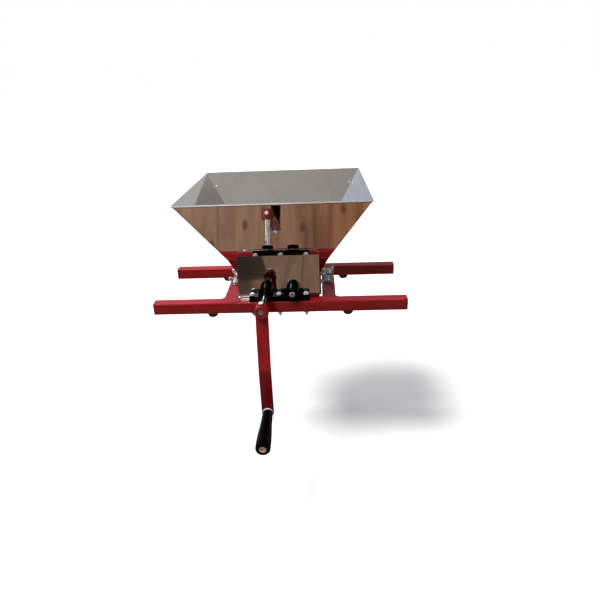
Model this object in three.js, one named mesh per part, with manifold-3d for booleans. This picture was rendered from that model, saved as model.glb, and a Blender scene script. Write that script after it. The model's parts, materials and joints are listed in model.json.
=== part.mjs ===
// Hand cranked apple scratter: a sheet hopper over two toothed rollers, on a pair of carrying rails.
// Millimetres, +Z up. X runs along the rails, -Y points to the crank, and the origin lies midway
// between the rails in the plane of their undersides, where the machine sits on a vat's rim.
import * as THREE from 'three';
import { mergeVertices } from 'three/addons/utils/BufferGeometryUtils.js';
import Module from 'manifold-3d';

const wasm = await Module();
wasm.setup();
const { Manifold, Mesh: SolidMesh } = wasm;

// Clearances
const seatGap = 0.3;
const runGap = 0.3;
const holeGap = 0.3;
const overrun = 1;

// Facets
const fineSides = 28;
const roundSides = 20;
const smallSides = 12;
const cornerSteps = 3;
const archSteps = 12;
const slotSteps = 8;

// Rails: two square tubes, with pressed-in end caps and feet
const railLength = 526;
const railSize = 25;
const railWall = 1.5;
const railCorner = 3;
const railInnerCorner = 1.5;
const railGap = 178;
const capFlange = 2;
const capPlugLength = 12;
const capPlugWall = 1.6;
const footSpacing = 286;
const footTopRadius = 11;
const footBottomRadius = 7;
const footHeight = 10;
const footEdge = 2;
const footStemRadius = 3.7;
const footStemHeight = 5;

// Cross plates: flat bars flush with the rails' tops, left and right of the throat
const plateWidth = 28.5;
const plateThickness = 4;
const plateInner = 89.5;
const plateFlare = 5;

// Hopper: folded sheet, its centre set back from the frame's
const hopperCentre = 15;
const hopperLength = 370;
const hopperWidth = 342;
const hopperHeight = 241;
const sheet = 1.2;
const hemHeight = 5;
const hemThickness = 2.2;
const throatHalfLength = 88;
const throatFront = 81.5;
const throatRear = 86;
const frontFoldHeight = 107;
const sideFoldHeight = 79;
const slotHalfWidth = 8;

// Hopper ears, their carriage bolts and wing nuts
const earWidth = 22;
const earReach = 27;
const earCorner = 6;
const earSpacing = 45;
const studInset = 17;
const studRadius = 3;
const studHeadRadius = 6.5;
const studHeadHeight = 3.3;
const studAboveNut = 4;
const wingHubRadius = 6.5;
const wingHubTopRadius = 5.2;
const wingHubHeight = 8;
const wingSpan = 30;
const wingHeight = 15;
const wingThickness = 2.2;
const wingAngles = { left_front: 12, left_rear: -14, right_front: -38, right_rear: 32 };

// Splash guard: a sheet on the front rail's rear face, folded on to the hopper's front wall
const guardWidth = 169;
const guardThickness = 1;
const guardBottom = 3;
const guardFlange = 18;
const guardFlangeWidth = 148;
const guardHoleRadius = 9;

// Shafts and rollers
const shaftRadius = 6;
const shaftHeight = 42;
const shaftChamfer = 0.8;
const gearModule = 3.5;
const gearTeeth = 16;
const shaftSpacing = gearModule * gearTeeth;
const rollerTipRadius = 37;
const rollerRootRadius = 30;
const rollerCoreRadius = 17.5;
const rollerFront = -77.5;
const rollerRear = 82.5;
const starCount = 6;
const starTeeth = 8;
const starSideGap = 0.7;
const starTipShare = 0.36;
const starRootShare = 0.34;
const starPlaceShares = { drive: 0.25, driven: 0.75 };
const rollerPinRadius = 2.5;

// Throat plates: folded sheets that lead the fruit from the hopper's sides to the rollers
const throatPlateThickness = 1;
const throatPlateTop = 77;
const throatPlateKnee = 58;
const throatPlateBottom = 30;
const throatPlateGap = 2.5;
const throatPlateEndGap = 1.5;

// Bearing blocks: one moulding on each rail with a housing for each shaft
const blockLength = 124;
const blockDepth = 22;
const blockFlangeHeight = 11.2;
const blockCorner = 3;
const housingRadius = 14;
const bossRadius = 12.5;
const bossLength = 6.5;
const blockRecess = 4;
const blockRecessShare = 0.7;
const blockPocketShares = [-0.75, -0.25, 0.25, 0.75];

// Block bolts
const boltSpacing = 56;
const boltRadius = 3;
const boltHeadFlats = 10;
const boltHeadHeight = 4.2;
const boltNutHeight = 5;
const boltTail = 5.5;
const boltTip = 1;

// Gears, behind the rear rail
const gearFace = 14;
const gearHubRadius = 12;
const gearHubLength = 8;
const gearAddendumShare = 0.9;
const gearDedendumShare = 1.25;
const pressureAngle = THREE.MathUtils.degToRad(20);
const gearBacklash = 0.5;
const flankSteps = 3;
const gearGap = 1;
const grubRadius = 2.5;
const grubLength = 5.4;
const grubSocket = 1.3;
const grubSocketDepth = 2.5;

// Crank: a bar welded under a hub, with a free turning grip
const hubRadius = 13;
const hubLength = 22;
const hubBack = -180;
const shaftShow = 0.5;
const armWidth = 25;
const armThickness = 5;
const armTopBelowAxis = 6;
const armKneeBelowAxis = 122;
const armKneeRadius = 60;
const armKneeSteps = 6;
const armSetForward = 17.5;
const crankRadius = 223;
const setScrewRadius = 2.5;
const setScrewFlats = 8;
const setScrewHeadHeight = 3.6;
const setScrewNeck = 1;
const gripLength = 112;
const gripBackRadius = 10.5;
const gripWaistRadius = 11;
const gripBellyRadius = 14.6;
const gripRound = 6;
const gripRoundSteps = 4;
const gripRecessRadius = 8.2;
const gripRecessDepth = 5.5;
const gripWaistShare = 0.12;
const gripBellyShare = 0.86;
const gripSteps = 5;
const washerRadius = 10.8;
const washerThickness = 2.2;
const spindleRadius = 4;
const spindleHeadRadius = 7.3;
const spindleHeadHeight = 4;
const spindleSocket = 3;
const spindleSocketDepth = 2.6;
const spindleNutFlats = 13;
const spindleNutHeight = 6.5;
const spindleTail = 1.5;

// Places that follow from the sizes above
const railOffset = (railGap + railSize) / 2;
const shaftX = shaftSpacing / 2;
const plateOuter = plateInner + plateWidth;
const blockSeat = railSize + seatGap;
const flangeTop = blockSeat + blockFlangeHeight;
const blockInner = railOffset - blockDepth / 2;
const blockOuter = railOffset + blockDepth / 2;
const bossEnd = blockOuter + bossLength;
const gearStart = bossEnd + gearGap;
const shaftRear = gearStart + gearFace + gearHubLength + shaftShow;
const hubFront = hubBack - hubLength;
const sheetBottom = railSize + seatGap;
const slopeY = (hopperWidth / 2 - hopperCentre - throatFront) / (hopperHeight - frontFoldHeight);
const slopeX = (hopperLength / 2 - throatHalfLength) / (hopperHeight - sideFoldHeight);
const rearFoldHeight = hopperHeight - (hopperWidth / 2 - (throatRear - hopperCentre)) / slopeY;
const armFront = hubBack - hubLength / 2 - armThickness / 2 - armSetForward;
const armBack = armFront + armThickness;

// Finishes
const finish = (color, roughness, metalness) => new THREE.MeshStandardMaterial({ color, roughness, metalness });
const finishes = {
  redPaint: finish(0x9a1420, 0.35, 0),
  stainless: finish(0xc9c8c5, 0.12, 1),
  blackPlastic: finish(0x0d0d0e, 0.35, 0),
  rubber: finish(0x111111, 0.75, 0),
  zinc: finish(0xbfc4c8, 0.3, 1),
  steel: finish(0xa9abad, 0.25, 1),
  aluminium: finish(0xb9bbbd, 0.45, 1),
};

// A geometry with shared corners and no flat triangles, ready to become a solid
function closedGeometry(geometry) {
  const bare = geometry.clone();
  bare.deleteAttribute('normal');
  bare.deleteAttribute('uv');
  const merged = mergeVertices(bare.index ? bare.toNonIndexed() : bare);
  const corners = merged.index.array;
  const kept = [];
  for (let i = 0; i < corners.length; i += 3) {
    const [a, b, c] = [corners[i], corners[i + 1], corners[i + 2]];
    if (a !== b && b !== c && c !== a) kept.push(a, b, c);
  }
  merged.setIndex(kept);
  return merged;
}

function solidOf(geometry) {
  const merged = closedGeometry(geometry);
  return new Manifold(new SolidMesh({
    numProp: 3,
    vertProperties: new Float32Array(merged.attributes.position.array),
    triVerts: new Uint32Array(merged.index.array),
  }));
}

function geometryOf(solid) {
  const { vertProperties, triVerts, numProp } = solid.getMesh();
  const geometry = new THREE.BufferGeometry();
  const positions = [];
  for (let i = 0; i < vertProperties.length; i += numProp) {
    positions.push(vertProperties[i], vertProperties[i + 1], vertProperties[i + 2]);
  }
  geometry.setAttribute('position', new THREE.Float32BufferAttribute(positions, 3));
  geometry.setIndex(Array.from(triVerts));
  const faceted = geometry.toNonIndexed();
  faceted.computeVertexNormals();
  return faceted;
}

const joined = (first, ...others) => geometryOf(others.reduce((sum, g) => sum.add(solidOf(g)), solidOf(first)));
const cut = (body, ...tools) => geometryOf(tools.reduce((rest, g) => rest.subtract(solidOf(g)), solidOf(body)));

// Outlines and plain forms
function roundPath(radius, sides, x = 0, y = 0) {
  const turn = (i) => (i / sides) * 2 * Math.PI;
  const points = Array.from({ length: sides }, (_, i) =>
    new THREE.Vector2(x + radius * Math.cos(turn(i)), y + radius * Math.sin(turn(i))));
  return new THREE.Path(points);
}

const squarePath = (half) => new THREE.Path([[-half, -half], [half, -half], [half, half], [-half, half]]
  .map(([x, y]) => new THREE.Vector2(x, y)));

function roundedRectangle(width, height, radius) {
  const [w, h] = [width / 2, height / 2];
  const shape = new THREE.Shape();
  shape.moveTo(w - radius, -h);
  shape.absarc(w - radius, radius - h, radius, -Math.PI / 2, 0, false);
  shape.absarc(w - radius, h - radius, radius, 0, Math.PI / 2, false);
  shape.absarc(radius - w, h - radius, radius, Math.PI / 2, Math.PI, false);
  shape.absarc(radius - w, radius - h, radius, Math.PI, 1.5 * Math.PI, false);
  shape.closePath();
  return shape;
}

const extruded = (shape, depth, curveSegments = cornerSteps) =>
  new THREE.ExtrudeGeometry(shape, { depth, bevelEnabled: false, curveSegments });

// The outline's x and y become y and z, and the depth runs along +X from x
const extrudedX = (shape, depth, x) => extruded(shape, depth).rotateX(Math.PI / 2).rotateZ(Math.PI / 2)
  .translate(x, 0, 0);

// The outline's x and y become x and z, and the depth runs along +Y from y
const extrudedY = (shape, depth, y, steps) => extruded(shape, depth, steps).rotateX(Math.PI / 2)
  .translate(0, y + depth, 0);

const cylinderY = (radius, y0, y1, x, z, sides = roundSides) =>
  new THREE.CylinderGeometry(radius, radius, y1 - y0, sides).translate(x, (y0 + y1) / 2, z);

const cylinderZ = (radius, z0, z1, x, y, sides = roundSides) =>
  new THREE.CylinderGeometry(radius, radius, z1 - z0, sides).rotateX(Math.PI / 2)
    .translate(x, y, (z0 + z1) / 2);

const box = (x0, x1, y0, y1, z0, z1) => new THREE.BoxGeometry(x1 - x0, y1 - y0, z1 - z0)
  .translate((x0 + x1) / 2, (y0 + y1) / 2, (z0 + z1) / 2);

// A body of revolution about Z from [radius, height] pairs, bottom to top
const revolvedZ = (profile, sides = roundSides) =>
  new THREE.LatheGeometry(profile.map(([r, z]) => new THREE.Vector2(r, z)), sides).rotateX(Math.PI / 2);

// The same with its axis turned to -Y, so that heights grow towards the crank's side
const revolvedFront = (profile, sides = roundSides) => revolvedZ(profile, sides).rotateX(Math.PI / 2);

const hexagon = (flats) => {
  const radius = flats / 2 / Math.cos(Math.PI / 6);
  return new THREE.Shape(roundPath(radius, 6).getPoints());
};

const hexPrismZ = (flats, z0, z1, x, y) => extruded(hexagon(flats), z1 - z0).translate(x, y, z0);

const root = new THREE.Group();
root.name = 'apple_scratter';

function add(parent, name, geometry, material) {
  const mesh = new THREE.Mesh(geometry, material);
  mesh.name = name;
  parent.add(mesh);
  return mesh;
}

const sides = [['left', -1], ['right', 1]];
const boltPlaces = [['left', -boltSpacing], ['middle', 0], ['right', boltSpacing]];

// Rails: each made along X about its own axis, its underside at z 0
function railGeometry() {
  const outline = roundedRectangle(railSize, railSize, railCorner);
  const inner = railSize - 2 * railWall;
  outline.holes.push(new THREE.Path(roundedRectangle(inner, inner, railInnerCorner).getPoints(cornerSteps)));
  const tube = extrudedX(outline, railLength, -railLength / 2).translate(0, 0, railSize / 2);
  const boltHoles = boltPlaces.map(([, x]) =>
    cylinderZ(boltRadius + holeGap, -overrun, railSize + overrun, x, 0, smallSides));
  const footHoles = sides.map(([, side]) =>
    cylinderZ(footStemRadius + holeGap, -overrun, railWall + overrun, side * footSpacing / 2, 0, smallSides));
  return cut(tube, ...boltHoles, ...footHoles);
}

function endCapGeometry() {
  const flange = extrudedX(roundedRectangle(railSize, railSize, railCorner), capFlange, 0);
  const plugSize = railSize - 2 * (railWall + seatGap);
  const plug = roundedRectangle(plugSize, plugSize, railInnerCorner);
  const hollow = plugSize / 2 - capPlugWall;
  plug.holes.push(squarePath(hollow));
  const sleeve = extrudedX(plug, capPlugLength + capFlange / 2, -capPlugLength);
  return joined(flange, sleeve).translate(seatGap, 0, railSize / 2);
}

function footGeometry() {
  const top = -seatGap;
  const profile = [
    [0, top - footHeight],
    [footBottomRadius - footEdge, top - footHeight],
    [footBottomRadius, top - footHeight + footEdge / 2],
    [(footBottomRadius + footTopRadius) / 2, top - footHeight / 2],
    [footTopRadius, top - footEdge],
    [footTopRadius, top],
    [footStemRadius, top],
    [footStemRadius, railWall + footStemHeight - footEdge],
    [footStemRadius - footEdge / 2, railWall + footStemHeight],
    [0, railWall + footStemHeight],
  ];
  return revolvedZ(profile, smallSides);
}

function addRail(name, y) {
  const rail = new THREE.Group();
  rail.position.y = y;
  add(rail, `${name}_rail`, railGeometry(), finishes.redPaint);
  for (const [sideName, side] of sides) {
    const cap = add(rail, `${name}_${sideName}_end_cap`, endCapGeometry(), finishes.blackPlastic);
    cap.position.x = side * railLength / 2;
    cap.rotation.z = side < 0 ? Math.PI : 0;
    const foot = add(rail, `${name}_${sideName}_foot`, footGeometry(), finishes.rubber);
    foot.position.x = side * footSpacing / 2;
  }
  root.add(rail);
}

addRail('front', -railOffset);
addRail('rear', railOffset);

// Cross plates, with a bolt hole under each ear and a flared outer corner at each rail
const studX = throatHalfLength + studInset;
const studYs = { front: hopperCentre - earSpacing / 2, rear: hopperCentre + earSpacing / 2 };

function plateGeometry(side) {
  const end = railGap / 2 - seatGap;
  const shape = new THREE.Shape();
  shape.moveTo(plateInner, -end);
  shape.lineTo(plateOuter + plateFlare, -end);
  shape.absarc(plateOuter + plateFlare, plateFlare - end, plateFlare, 1.5 * Math.PI, Math.PI, true);
  shape.lineTo(plateOuter, end - plateFlare);
  shape.absarc(plateOuter + plateFlare, end - plateFlare, plateFlare, Math.PI, Math.PI / 2, true);
  shape.lineTo(plateInner, end);
  shape.closePath();
  for (const y of Object.values(studYs)) shape.holes.push(roundPath(studRadius + holeGap, smallSides, studX, y));
  const plate = extruded(shape, plateThickness).translate(0, 0, railSize - plateThickness);
  return side > 0 ? plate : mirroredX(plate);
}

function mirroredX(geometry) {
  const solid = solidOf(geometry).mirror([1, 0, 0]);
  return geometryOf(solid);
}

for (const [name, side] of sides) add(root, `${name}_cross_plate`, plateGeometry(side), finishes.redPaint);

// Hopper walls: level rings of four corners, joined into one folded skin
const wallHalfX = (z) => throatHalfLength + Math.max(0, z - sideFoldHeight) * slopeX;
const wallFront = (z) => -throatFront - Math.max(0, z - frontFoldHeight) * slopeY;
const wallRear = (z) => throatRear + Math.max(0, z - rearFoldHeight) * slopeY;

function ring(z, inset) {
  const [x, front, rear] = [wallHalfX(z) - inset, wallFront(z) + inset, wallRear(z) - inset];
  return [[-x, front, z], [x, front, z], [x, rear, z], [-x, rear, z]];
}

function skin(rings) {
  const positions = [];
  rings.forEach((lower, level) => {
    const upper = rings[(level + 1) % rings.length];
    lower.forEach((corner, i) => {
      const next = (i + 1) % lower.length;
      positions.push(...corner, ...lower[next], ...upper[next], ...corner, ...upper[next], ...upper[i]);
    });
  });
  const geometry = new THREE.BufferGeometry();
  geometry.setAttribute('position', new THREE.Float32BufferAttribute(positions, 3));
  return geometry;
}

function hopperGeometry() {
  const hemOut = sheet - hemThickness;
  const hemBottom = hopperHeight - hemHeight;
  const folds = [rearFoldHeight, sideFoldHeight, frontFoldHeight];
  const walls = skin([
    ring(sheetBottom, 0),
    ...folds.map((z) => ring(z, 0)),
    ring(hemBottom, 0),
    ring(hemBottom, hemOut),
    ring(hopperHeight, hemOut),
    ring(hopperHeight, sheet),
    ...folds.toReversed().map((z) => ring(z, sheet)),
    ring(sheetBottom, sheet),
  ]);
  const ears = [];
  for (const [, side] of sides) {
    for (const y of Object.values(studYs)) ears.push(earGeometry(side, y));
  }
  const slots = sides.map(([, side]) => {
    const slot = new THREE.Shape();
    slot.moveTo(-slotHalfWidth, sheetBottom - overrun);
    slot.lineTo(slotHalfWidth, sheetBottom - overrun);
    slot.absarc(0, shaftHeight, slotHalfWidth, 0, Math.PI, false);
    slot.closePath();
    const depth = throatFront + throatRear + 2 * overrun;
    return extrudedY(slot, depth, -throatFront - overrun, slotSteps).translate(side * shaftX, 0, 0);
  });
  const body = ears.reduce((sum, ear) => sum.add(solidOf(ear)), solidOf(walls));
  return geometryOf(slots.reduce((rest, slot) => rest.subtract(solidOf(slot)), body));
}

function earGeometry(side, y) {
  const start = throatHalfLength - sheet / 2;
  const end = throatHalfLength + earReach;
  const half = earWidth / 2;
  const shape = new THREE.Shape();
  shape.moveTo(start, -half);
  shape.lineTo(end - earCorner, -half);
  shape.absarc(end - earCorner, earCorner - half, earCorner, -Math.PI / 2, 0, false);
  shape.absarc(end - earCorner, half - earCorner, earCorner, 0, Math.PI / 2, false);
  shape.lineTo(start, half);
  shape.closePath();
  shape.holes.push(roundPath(studRadius + holeGap, smallSides, studX, 0));
  const ear = extruded(shape, sheet).translate(0, y, sheetBottom);
  return side > 0 ? ear : mirroredX(ear);
}

add(root, 'hopper', hopperGeometry(), finishes.stainless);

// Carriage bolts up through plate and ear, and the wing nuts on them
const studTop = sheetBottom + sheet + seatGap + wingHubHeight + studAboveNut;

function studGeometry() {
  const neck = railSize - plateThickness - seatGap;
  const head = neck - studHeadHeight;
  const profile = [
    [0, head],
    [studHeadRadius / 2, head],
    [studHeadRadius, neck - studHeadHeight / 2],
    [studHeadRadius, neck],
    [studRadius, neck],
    [studRadius, studTop - boltTip],
    [studRadius - boltTip, studTop],
    [0, studTop],
  ];
  return revolvedZ(profile, smallSides);
}

// A wing's outline as shares of its reach from the axis and of its height
const wingRootShares = [0.2, 0.12];
const wingUnderShares = [[0.62, 0.14], [0.86, 0.38]];
const wingTipShares = [[1, 0.55], [1, 0.8]];
const wingCrownShares = [[0.97, 1], [0.78, 1]];
const wingBackShares = [[0.5, 0.94], [0.2, 0.5]];

function wingGeometry() {
  const reach = wingSpan / 2;
  const at = ([u, v]) => [u * reach, v * wingHeight];
  const shape = new THREE.Shape();
  shape.moveTo(...at(wingRootShares));
  for (const [handle, end] of [wingUnderShares, wingTipShares, wingCrownShares, wingBackShares]) {
    shape.quadraticCurveTo(...at(handle), ...at(end));
  }
  shape.closePath();
  return extrudedY(shape, wingThickness, -wingThickness / 2);
}

function wingNutGeometry() {
  const bore = studRadius + runGap;
  const hub = revolvedZ([[bore, 0], [wingHubRadius, 0], [wingHubTopRadius, wingHubHeight],
    [bore, wingHubHeight], [bore, 0]]);
  const wing = wingGeometry();
  const opposite = wing.clone().rotateZ(Math.PI);
  const hole = cylinderZ(bore, -overrun, wingHeight + overrun, 0, 0);
  return cut(joined(hub, wing, opposite), hole);
}

for (const [sideName, side] of sides) {
  for (const [end, y] of Object.entries(studYs)) {
    const place = `${sideName}_${end}`;
    const station = new THREE.Group();
    station.position.set(side * studX, y, 0);
    add(station, `${place}_carriage_bolt`, studGeometry(), finishes.zinc);
    const nut = add(station, `${place}_wing_nut`, wingNutGeometry(), finishes.zinc);
    nut.position.z = sheetBottom + sheet + seatGap;
    nut.rotation.z = THREE.MathUtils.degToRad(wingAngles[place]);
    root.add(station);
  }
}

// Splash guard: upright sheet and a chamfered flange that lies on the hopper's front wall
function guardGeometry() {
  const face = railGap / 2 - seatGap - guardThickness;
  const lean = Math.atan(slopeY);
  const stand = seatGap / Math.cos(lean);
  const foldHeight = frontFoldHeight + (face - throatFront - stand) / slopeY;
  const upright = extrudedY(guardSheet(foldHeight), guardThickness, -face - guardThickness);
  const half = guardWidth / 2;
  const top = guardFlangeWidth / 2;
  const chamfer = half - top;
  const outline = new THREE.Shape();
  outline.moveTo(-half, 0);
  outline.lineTo(half, 0);
  outline.lineTo(half, guardFlange - chamfer);
  outline.lineTo(top, guardFlange);
  outline.lineTo(-top, guardFlange);
  outline.lineTo(-half, guardFlange - chamfer);
  outline.closePath();
  const flange = extrudedY(outline, guardThickness, -guardThickness).rotateX(lean)
    .translate(0, -face, foldHeight);
  return joined(upright, flange);
}

function guardSheet(top) {
  const half = guardWidth / 2;
  const shape = new THREE.Shape();
  shape.moveTo(-half, guardBottom);
  shape.lineTo(half, guardBottom);
  shape.lineTo(half, top);
  shape.lineTo(-half, top);
  shape.closePath();
  for (const [, side] of sides) shape.holes.push(roundPath(guardHoleRadius, roundSides, side * shaftX, shaftHeight));
  return shape;
}

add(root, 'splash_guard', guardGeometry(), finishes.stainless);

// Throat plates
function throatPlateGeometry(side) {
  const outer = throatHalfLength - sheet - seatGap;
  const inner = shaftX + rollerTipRadius + throatPlateGap;
  const thick = throatPlateThickness;
  const outline = new THREE.Shape();
  outline.moveTo(inner, throatPlateBottom);
  outline.lineTo(inner + thick, throatPlateBottom);
  outline.lineTo(inner + thick, throatPlateKnee - thick / 2);
  outline.lineTo(outer, throatPlateTop - thick);
  outline.lineTo(outer, throatPlateTop);
  outline.lineTo(inner, throatPlateKnee);
  outline.closePath();
  const front = -throatFront + sheet + throatPlateEndGap;
  const rear = throatRear - sheet - throatPlateEndGap;
  const plate = extrudedY(outline, rear - front, front);
  return side > 0 ? plate : mirroredX(plate);
}

for (const [name, side] of sides) add(root, `${name}_throat_plate`, throatPlateGeometry(side), finishes.stainless);

// Bearing blocks: made for the front rail, and turned about Z for the rear one
function blockGeometry() {
  const half = blockLength / 2;
  const shoulder = Math.sqrt(housingRadius ** 2 - (shaftHeight - flangeTop) ** 2);
  const start = Math.asin((flangeTop - shaftHeight) / housingRadius);
  const outline = new THREE.Shape();
  outline.moveTo(-half, blockSeat);
  outline.lineTo(half, blockSeat);
  outline.lineTo(half, flangeTop - blockCorner);
  outline.lineTo(half - blockCorner, flangeTop);
  outline.lineTo(shaftX + shoulder, flangeTop);
  outline.absarc(shaftX, shaftHeight, housingRadius, start, Math.PI - start, false);
  outline.lineTo(shoulder - shaftX, flangeTop);
  outline.absarc(-shaftX, shaftHeight, housingRadius, start, Math.PI - start, false);
  outline.lineTo(blockCorner - half, flangeTop);
  outline.lineTo(-half, flangeTop - blockCorner);
  outline.closePath();
  const body = extrudedY(outline, blockDepth, -blockOuter, archSteps);
  const bosses = sides.map(([, side]) =>
    cylinderY(bossRadius, -bossEnd, -blockOuter + overrun, side * shaftX, shaftHeight, fineSides));
  const bores = sides.map(([, side]) =>
    cylinderY(shaftRadius + runGap, -bossEnd - overrun, overrun - blockInner, side * shaftX, shaftHeight));
  const boltHoles = boltPlaces.map(([, x]) =>
    cylinderZ(boltRadius + holeGap, blockSeat - overrun, flangeTop + overrun, x, -railOffset, smallSides));
  return cut(joined(body, ...bosses), ...bores, ...boltHoles, ...blockPockets());
}

// Lightening pockets in the underside, between the bolts and the housings
function blockPockets() {
  const width = blockRecessShare * (boltSpacing / 2 - boltRadius);
  const depth = blockRecessShare * blockDepth / 2;
  const places = blockPocketShares.map((share) => share * boltSpacing);
  return places.map((x) => box(x - width / 2, x + width / 2, -railOffset - depth, depth - railOffset,
    blockSeat - overrun, blockSeat + blockRecess));
}

add(root, 'front_bearing_block', blockGeometry(), finishes.blackPlastic);
const rearBlock = add(root, 'rear_bearing_block', blockGeometry(), finishes.blackPlastic);
rearBlock.rotation.z = Math.PI;

// Bolts down through block and rail, each with its nut under the rail
function blockBoltGeometry() {
  const seat = flangeTop + seatGap;
  const tail = -seatGap - boltNutHeight - boltTail;
  const head = hexPrismZ(boltHeadFlats, seat, seat + boltHeadHeight, 0, 0);
  const shank = revolvedZ([[0, tail], [boltRadius - boltTip, tail], [boltRadius, tail + boltTip],
    [boltRadius, seat + boltHeadHeight / 2], [0, seat + boltHeadHeight / 2]], smallSides);
  return joined(head, shank);
}

function nutGeometry(flats, height, boreRadius) {
  const outline = hexagon(flats);
  outline.holes.push(roundPath(boreRadius + holeGap, smallSides));
  return extruded(outline, height);
}

for (const [end, y] of [['front', -railOffset], ['rear', railOffset]]) {
  for (const [place, x] of boltPlaces) {
    const bolt = add(root, `${end}_${place}_block_bolt`, blockBoltGeometry(), finishes.zinc);
    bolt.position.set(x, y, 0);
    const nut = add(root, `${end}_${place}_block_nut`, nutGeometry(boltHeadFlats, boltNutHeight, boltRadius),
      finishes.zinc);
    nut.position.set(x, y, -seatGap - boltNutHeight);
  }
}

// Rollers: star wheels on a core, those of one roller in the grooves of the other
function starShape(turn) {
  const pitch = 2 * Math.PI / starTeeth;
  const shape = new THREE.Shape();
  for (let tooth = 0; tooth < starTeeth; tooth += 1) {
    const middle = tooth * pitch + turn;
    const corners = [[rollerTipRadius, -starTipShare / 2], [rollerTipRadius, starTipShare / 2],
      [rollerRootRadius, 0.5 - starRootShare / 2], [rollerRootRadius, 0.5 + starRootShare / 2]];
    corners.forEach(([radius, share], i) => {
      const angle = middle + share * pitch;
      const point = [radius * Math.cos(angle), radius * Math.sin(angle)];
      if (tooth === 0 && i === 0) shape.moveTo(...point);
      else shape.lineTo(...point);
    });
  }
  shape.closePath();
  return shape;
}

const starPitch = (rollerRear - rollerFront) / starCount;
const starWidth = starPitch / 2 - starSideGap;
const pinY = {
  drive: rollerFront + starPlaceShares.driven * starPitch,
  driven: rollerFront + starPlaceShares.drive * starPitch,
};

function rollerGeometry(name) {
  const core = cylinderY(rollerCoreRadius, rollerFront, rollerRear, 0, 0, smallSides);
  const stars = Array.from({ length: starCount }, (_, i) => {
    const middle = rollerFront + (i + starPlaceShares[name]) * starPitch;
    const turn = (i % 2) * Math.PI / starTeeth;
    return extrudedY(starShape(turn), starWidth, middle - starWidth / 2);
  });
  const bore = cylinderY(shaftRadius + holeGap, rollerFront - overrun, rollerRear + overrun, 0, 0);
  const pinHole = cylinderZ(rollerPinRadius + holeGap, -rollerCoreRadius - overrun,
    rollerCoreRadius + overrun, 0, pinY[name], smallSides);
  return cut(joined(core, ...stars), bore, pinHole);
}

function shaftGeometry(name, front, rear) {
  const shaft = revolvedFront([[0, -rear], [shaftRadius - shaftChamfer, -rear], [shaftRadius, shaftChamfer - rear],
    [shaftRadius, -front - shaftChamfer], [shaftRadius - shaftChamfer, -front], [0, -front]]);
  const pinHole = cylinderZ(rollerPinRadius + holeGap, -shaftRadius - overrun, shaftRadius + overrun, 0,
    pinY[name], smallSides);
  return cut(shaft, pinHole);
}

// Spur gears with involute flanks
const involute = (angle) => Math.tan(angle) - angle;

function gearShape(turn) {
  const pitchRadius = gearModule * gearTeeth / 2;
  const baseRadius = pitchRadius * Math.cos(pressureAngle);
  const tipRadius = pitchRadius + gearAddendumShare * gearModule;
  const rootRadius = pitchRadius - gearDedendumShare * gearModule;
  const halfTooth = Math.PI / (2 * gearTeeth) - gearBacklash / (4 * pitchRadius) + involute(pressureAngle);
  const flank = Array.from({ length: flankSteps + 1 }, (_, i) => {
    const radius = baseRadius + (tipRadius - baseRadius) * i / flankSteps;
    return [radius, halfTooth - involute(Math.acos(baseRadius / radius))];
  });
  const side = [[rootRadius, flank[0][1]], ...flank];
  const tooth = [...side.map(([radius, angle]) => [radius, -angle]), ...side.toReversed()];
  const shape = new THREE.Shape();
  for (let i = 0; i < gearTeeth; i += 1) {
    const middle = turn + i * 2 * Math.PI / gearTeeth;
    tooth.forEach(([radius, angle], j) => {
      const point = [radius * Math.cos(middle + angle), radius * Math.sin(middle + angle)];
      if (i === 0 && j === 0) shape.moveTo(...point);
      else shape.lineTo(...point);
    });
  }
  shape.closePath();
  return shape;
}

function gearGeometry(turn) {
  const wheel = extrudedY(gearShape(turn), gearFace, gearStart);
  const hubEnd = gearStart + gearFace + gearHubLength;
  const hub = cylinderY(gearHubRadius, gearStart + gearFace - overrun, hubEnd, 0, 0);
  const bore = cylinderY(shaftRadius + holeGap, gearStart - overrun, hubEnd + overrun, 0, 0);
  const grubHole = cylinderZ(grubRadius + holeGap, 0, gearHubRadius + overrun, 0, grubY, smallSides);
  return cut(joined(wheel, hub), bore, grubHole);
}

const grubY = gearStart + gearFace + gearHubLength / 2;

function grubGeometry() {
  const bottom = shaftRadius + seatGap;
  const body = cylinderZ(grubRadius, bottom, bottom + grubLength, 0, 0, smallSides);
  const socket = hexPrismZ(2 * grubSocket, bottom + grubLength - grubSocketDepth, bottom + grubLength + overrun,
    0, 0);
  return cut(body, socket).translate(0, grubY, 0);
}

// Each train turns about its own shaft: shaft, roller, pin, gear and grub screw
function addTrain(name, side, front) {
  const train = new THREE.Group();
  train.position.set(side * shaftX, 0, shaftHeight);
  add(train, `${name}_shaft`, shaftGeometry(name, front, shaftRear), finishes.steel);
  add(train, `${name}_roller`, rollerGeometry(name), finishes.aluminium);
  const pin = add(train, `${name}_roller_pin`,
    cylinderZ(rollerPinRadius, -rollerCoreRadius, rollerCoreRadius, 0, 0, smallSides), finishes.steel);
  pin.position.y = pinY[name];
  const turn = side > 0 ? Math.PI / gearTeeth : 0;
  add(train, `${name}_gear`, gearGeometry(turn), finishes.steel);
  add(train, `${name}_gear_grub_screw`, grubGeometry(), finishes.steel);
  root.add(train);
  return train;
}

const driveTrain = addTrain('drive', -1, hubFront + shaftShow);
addTrain('driven', 1, -bossEnd - shaftShow);

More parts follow.
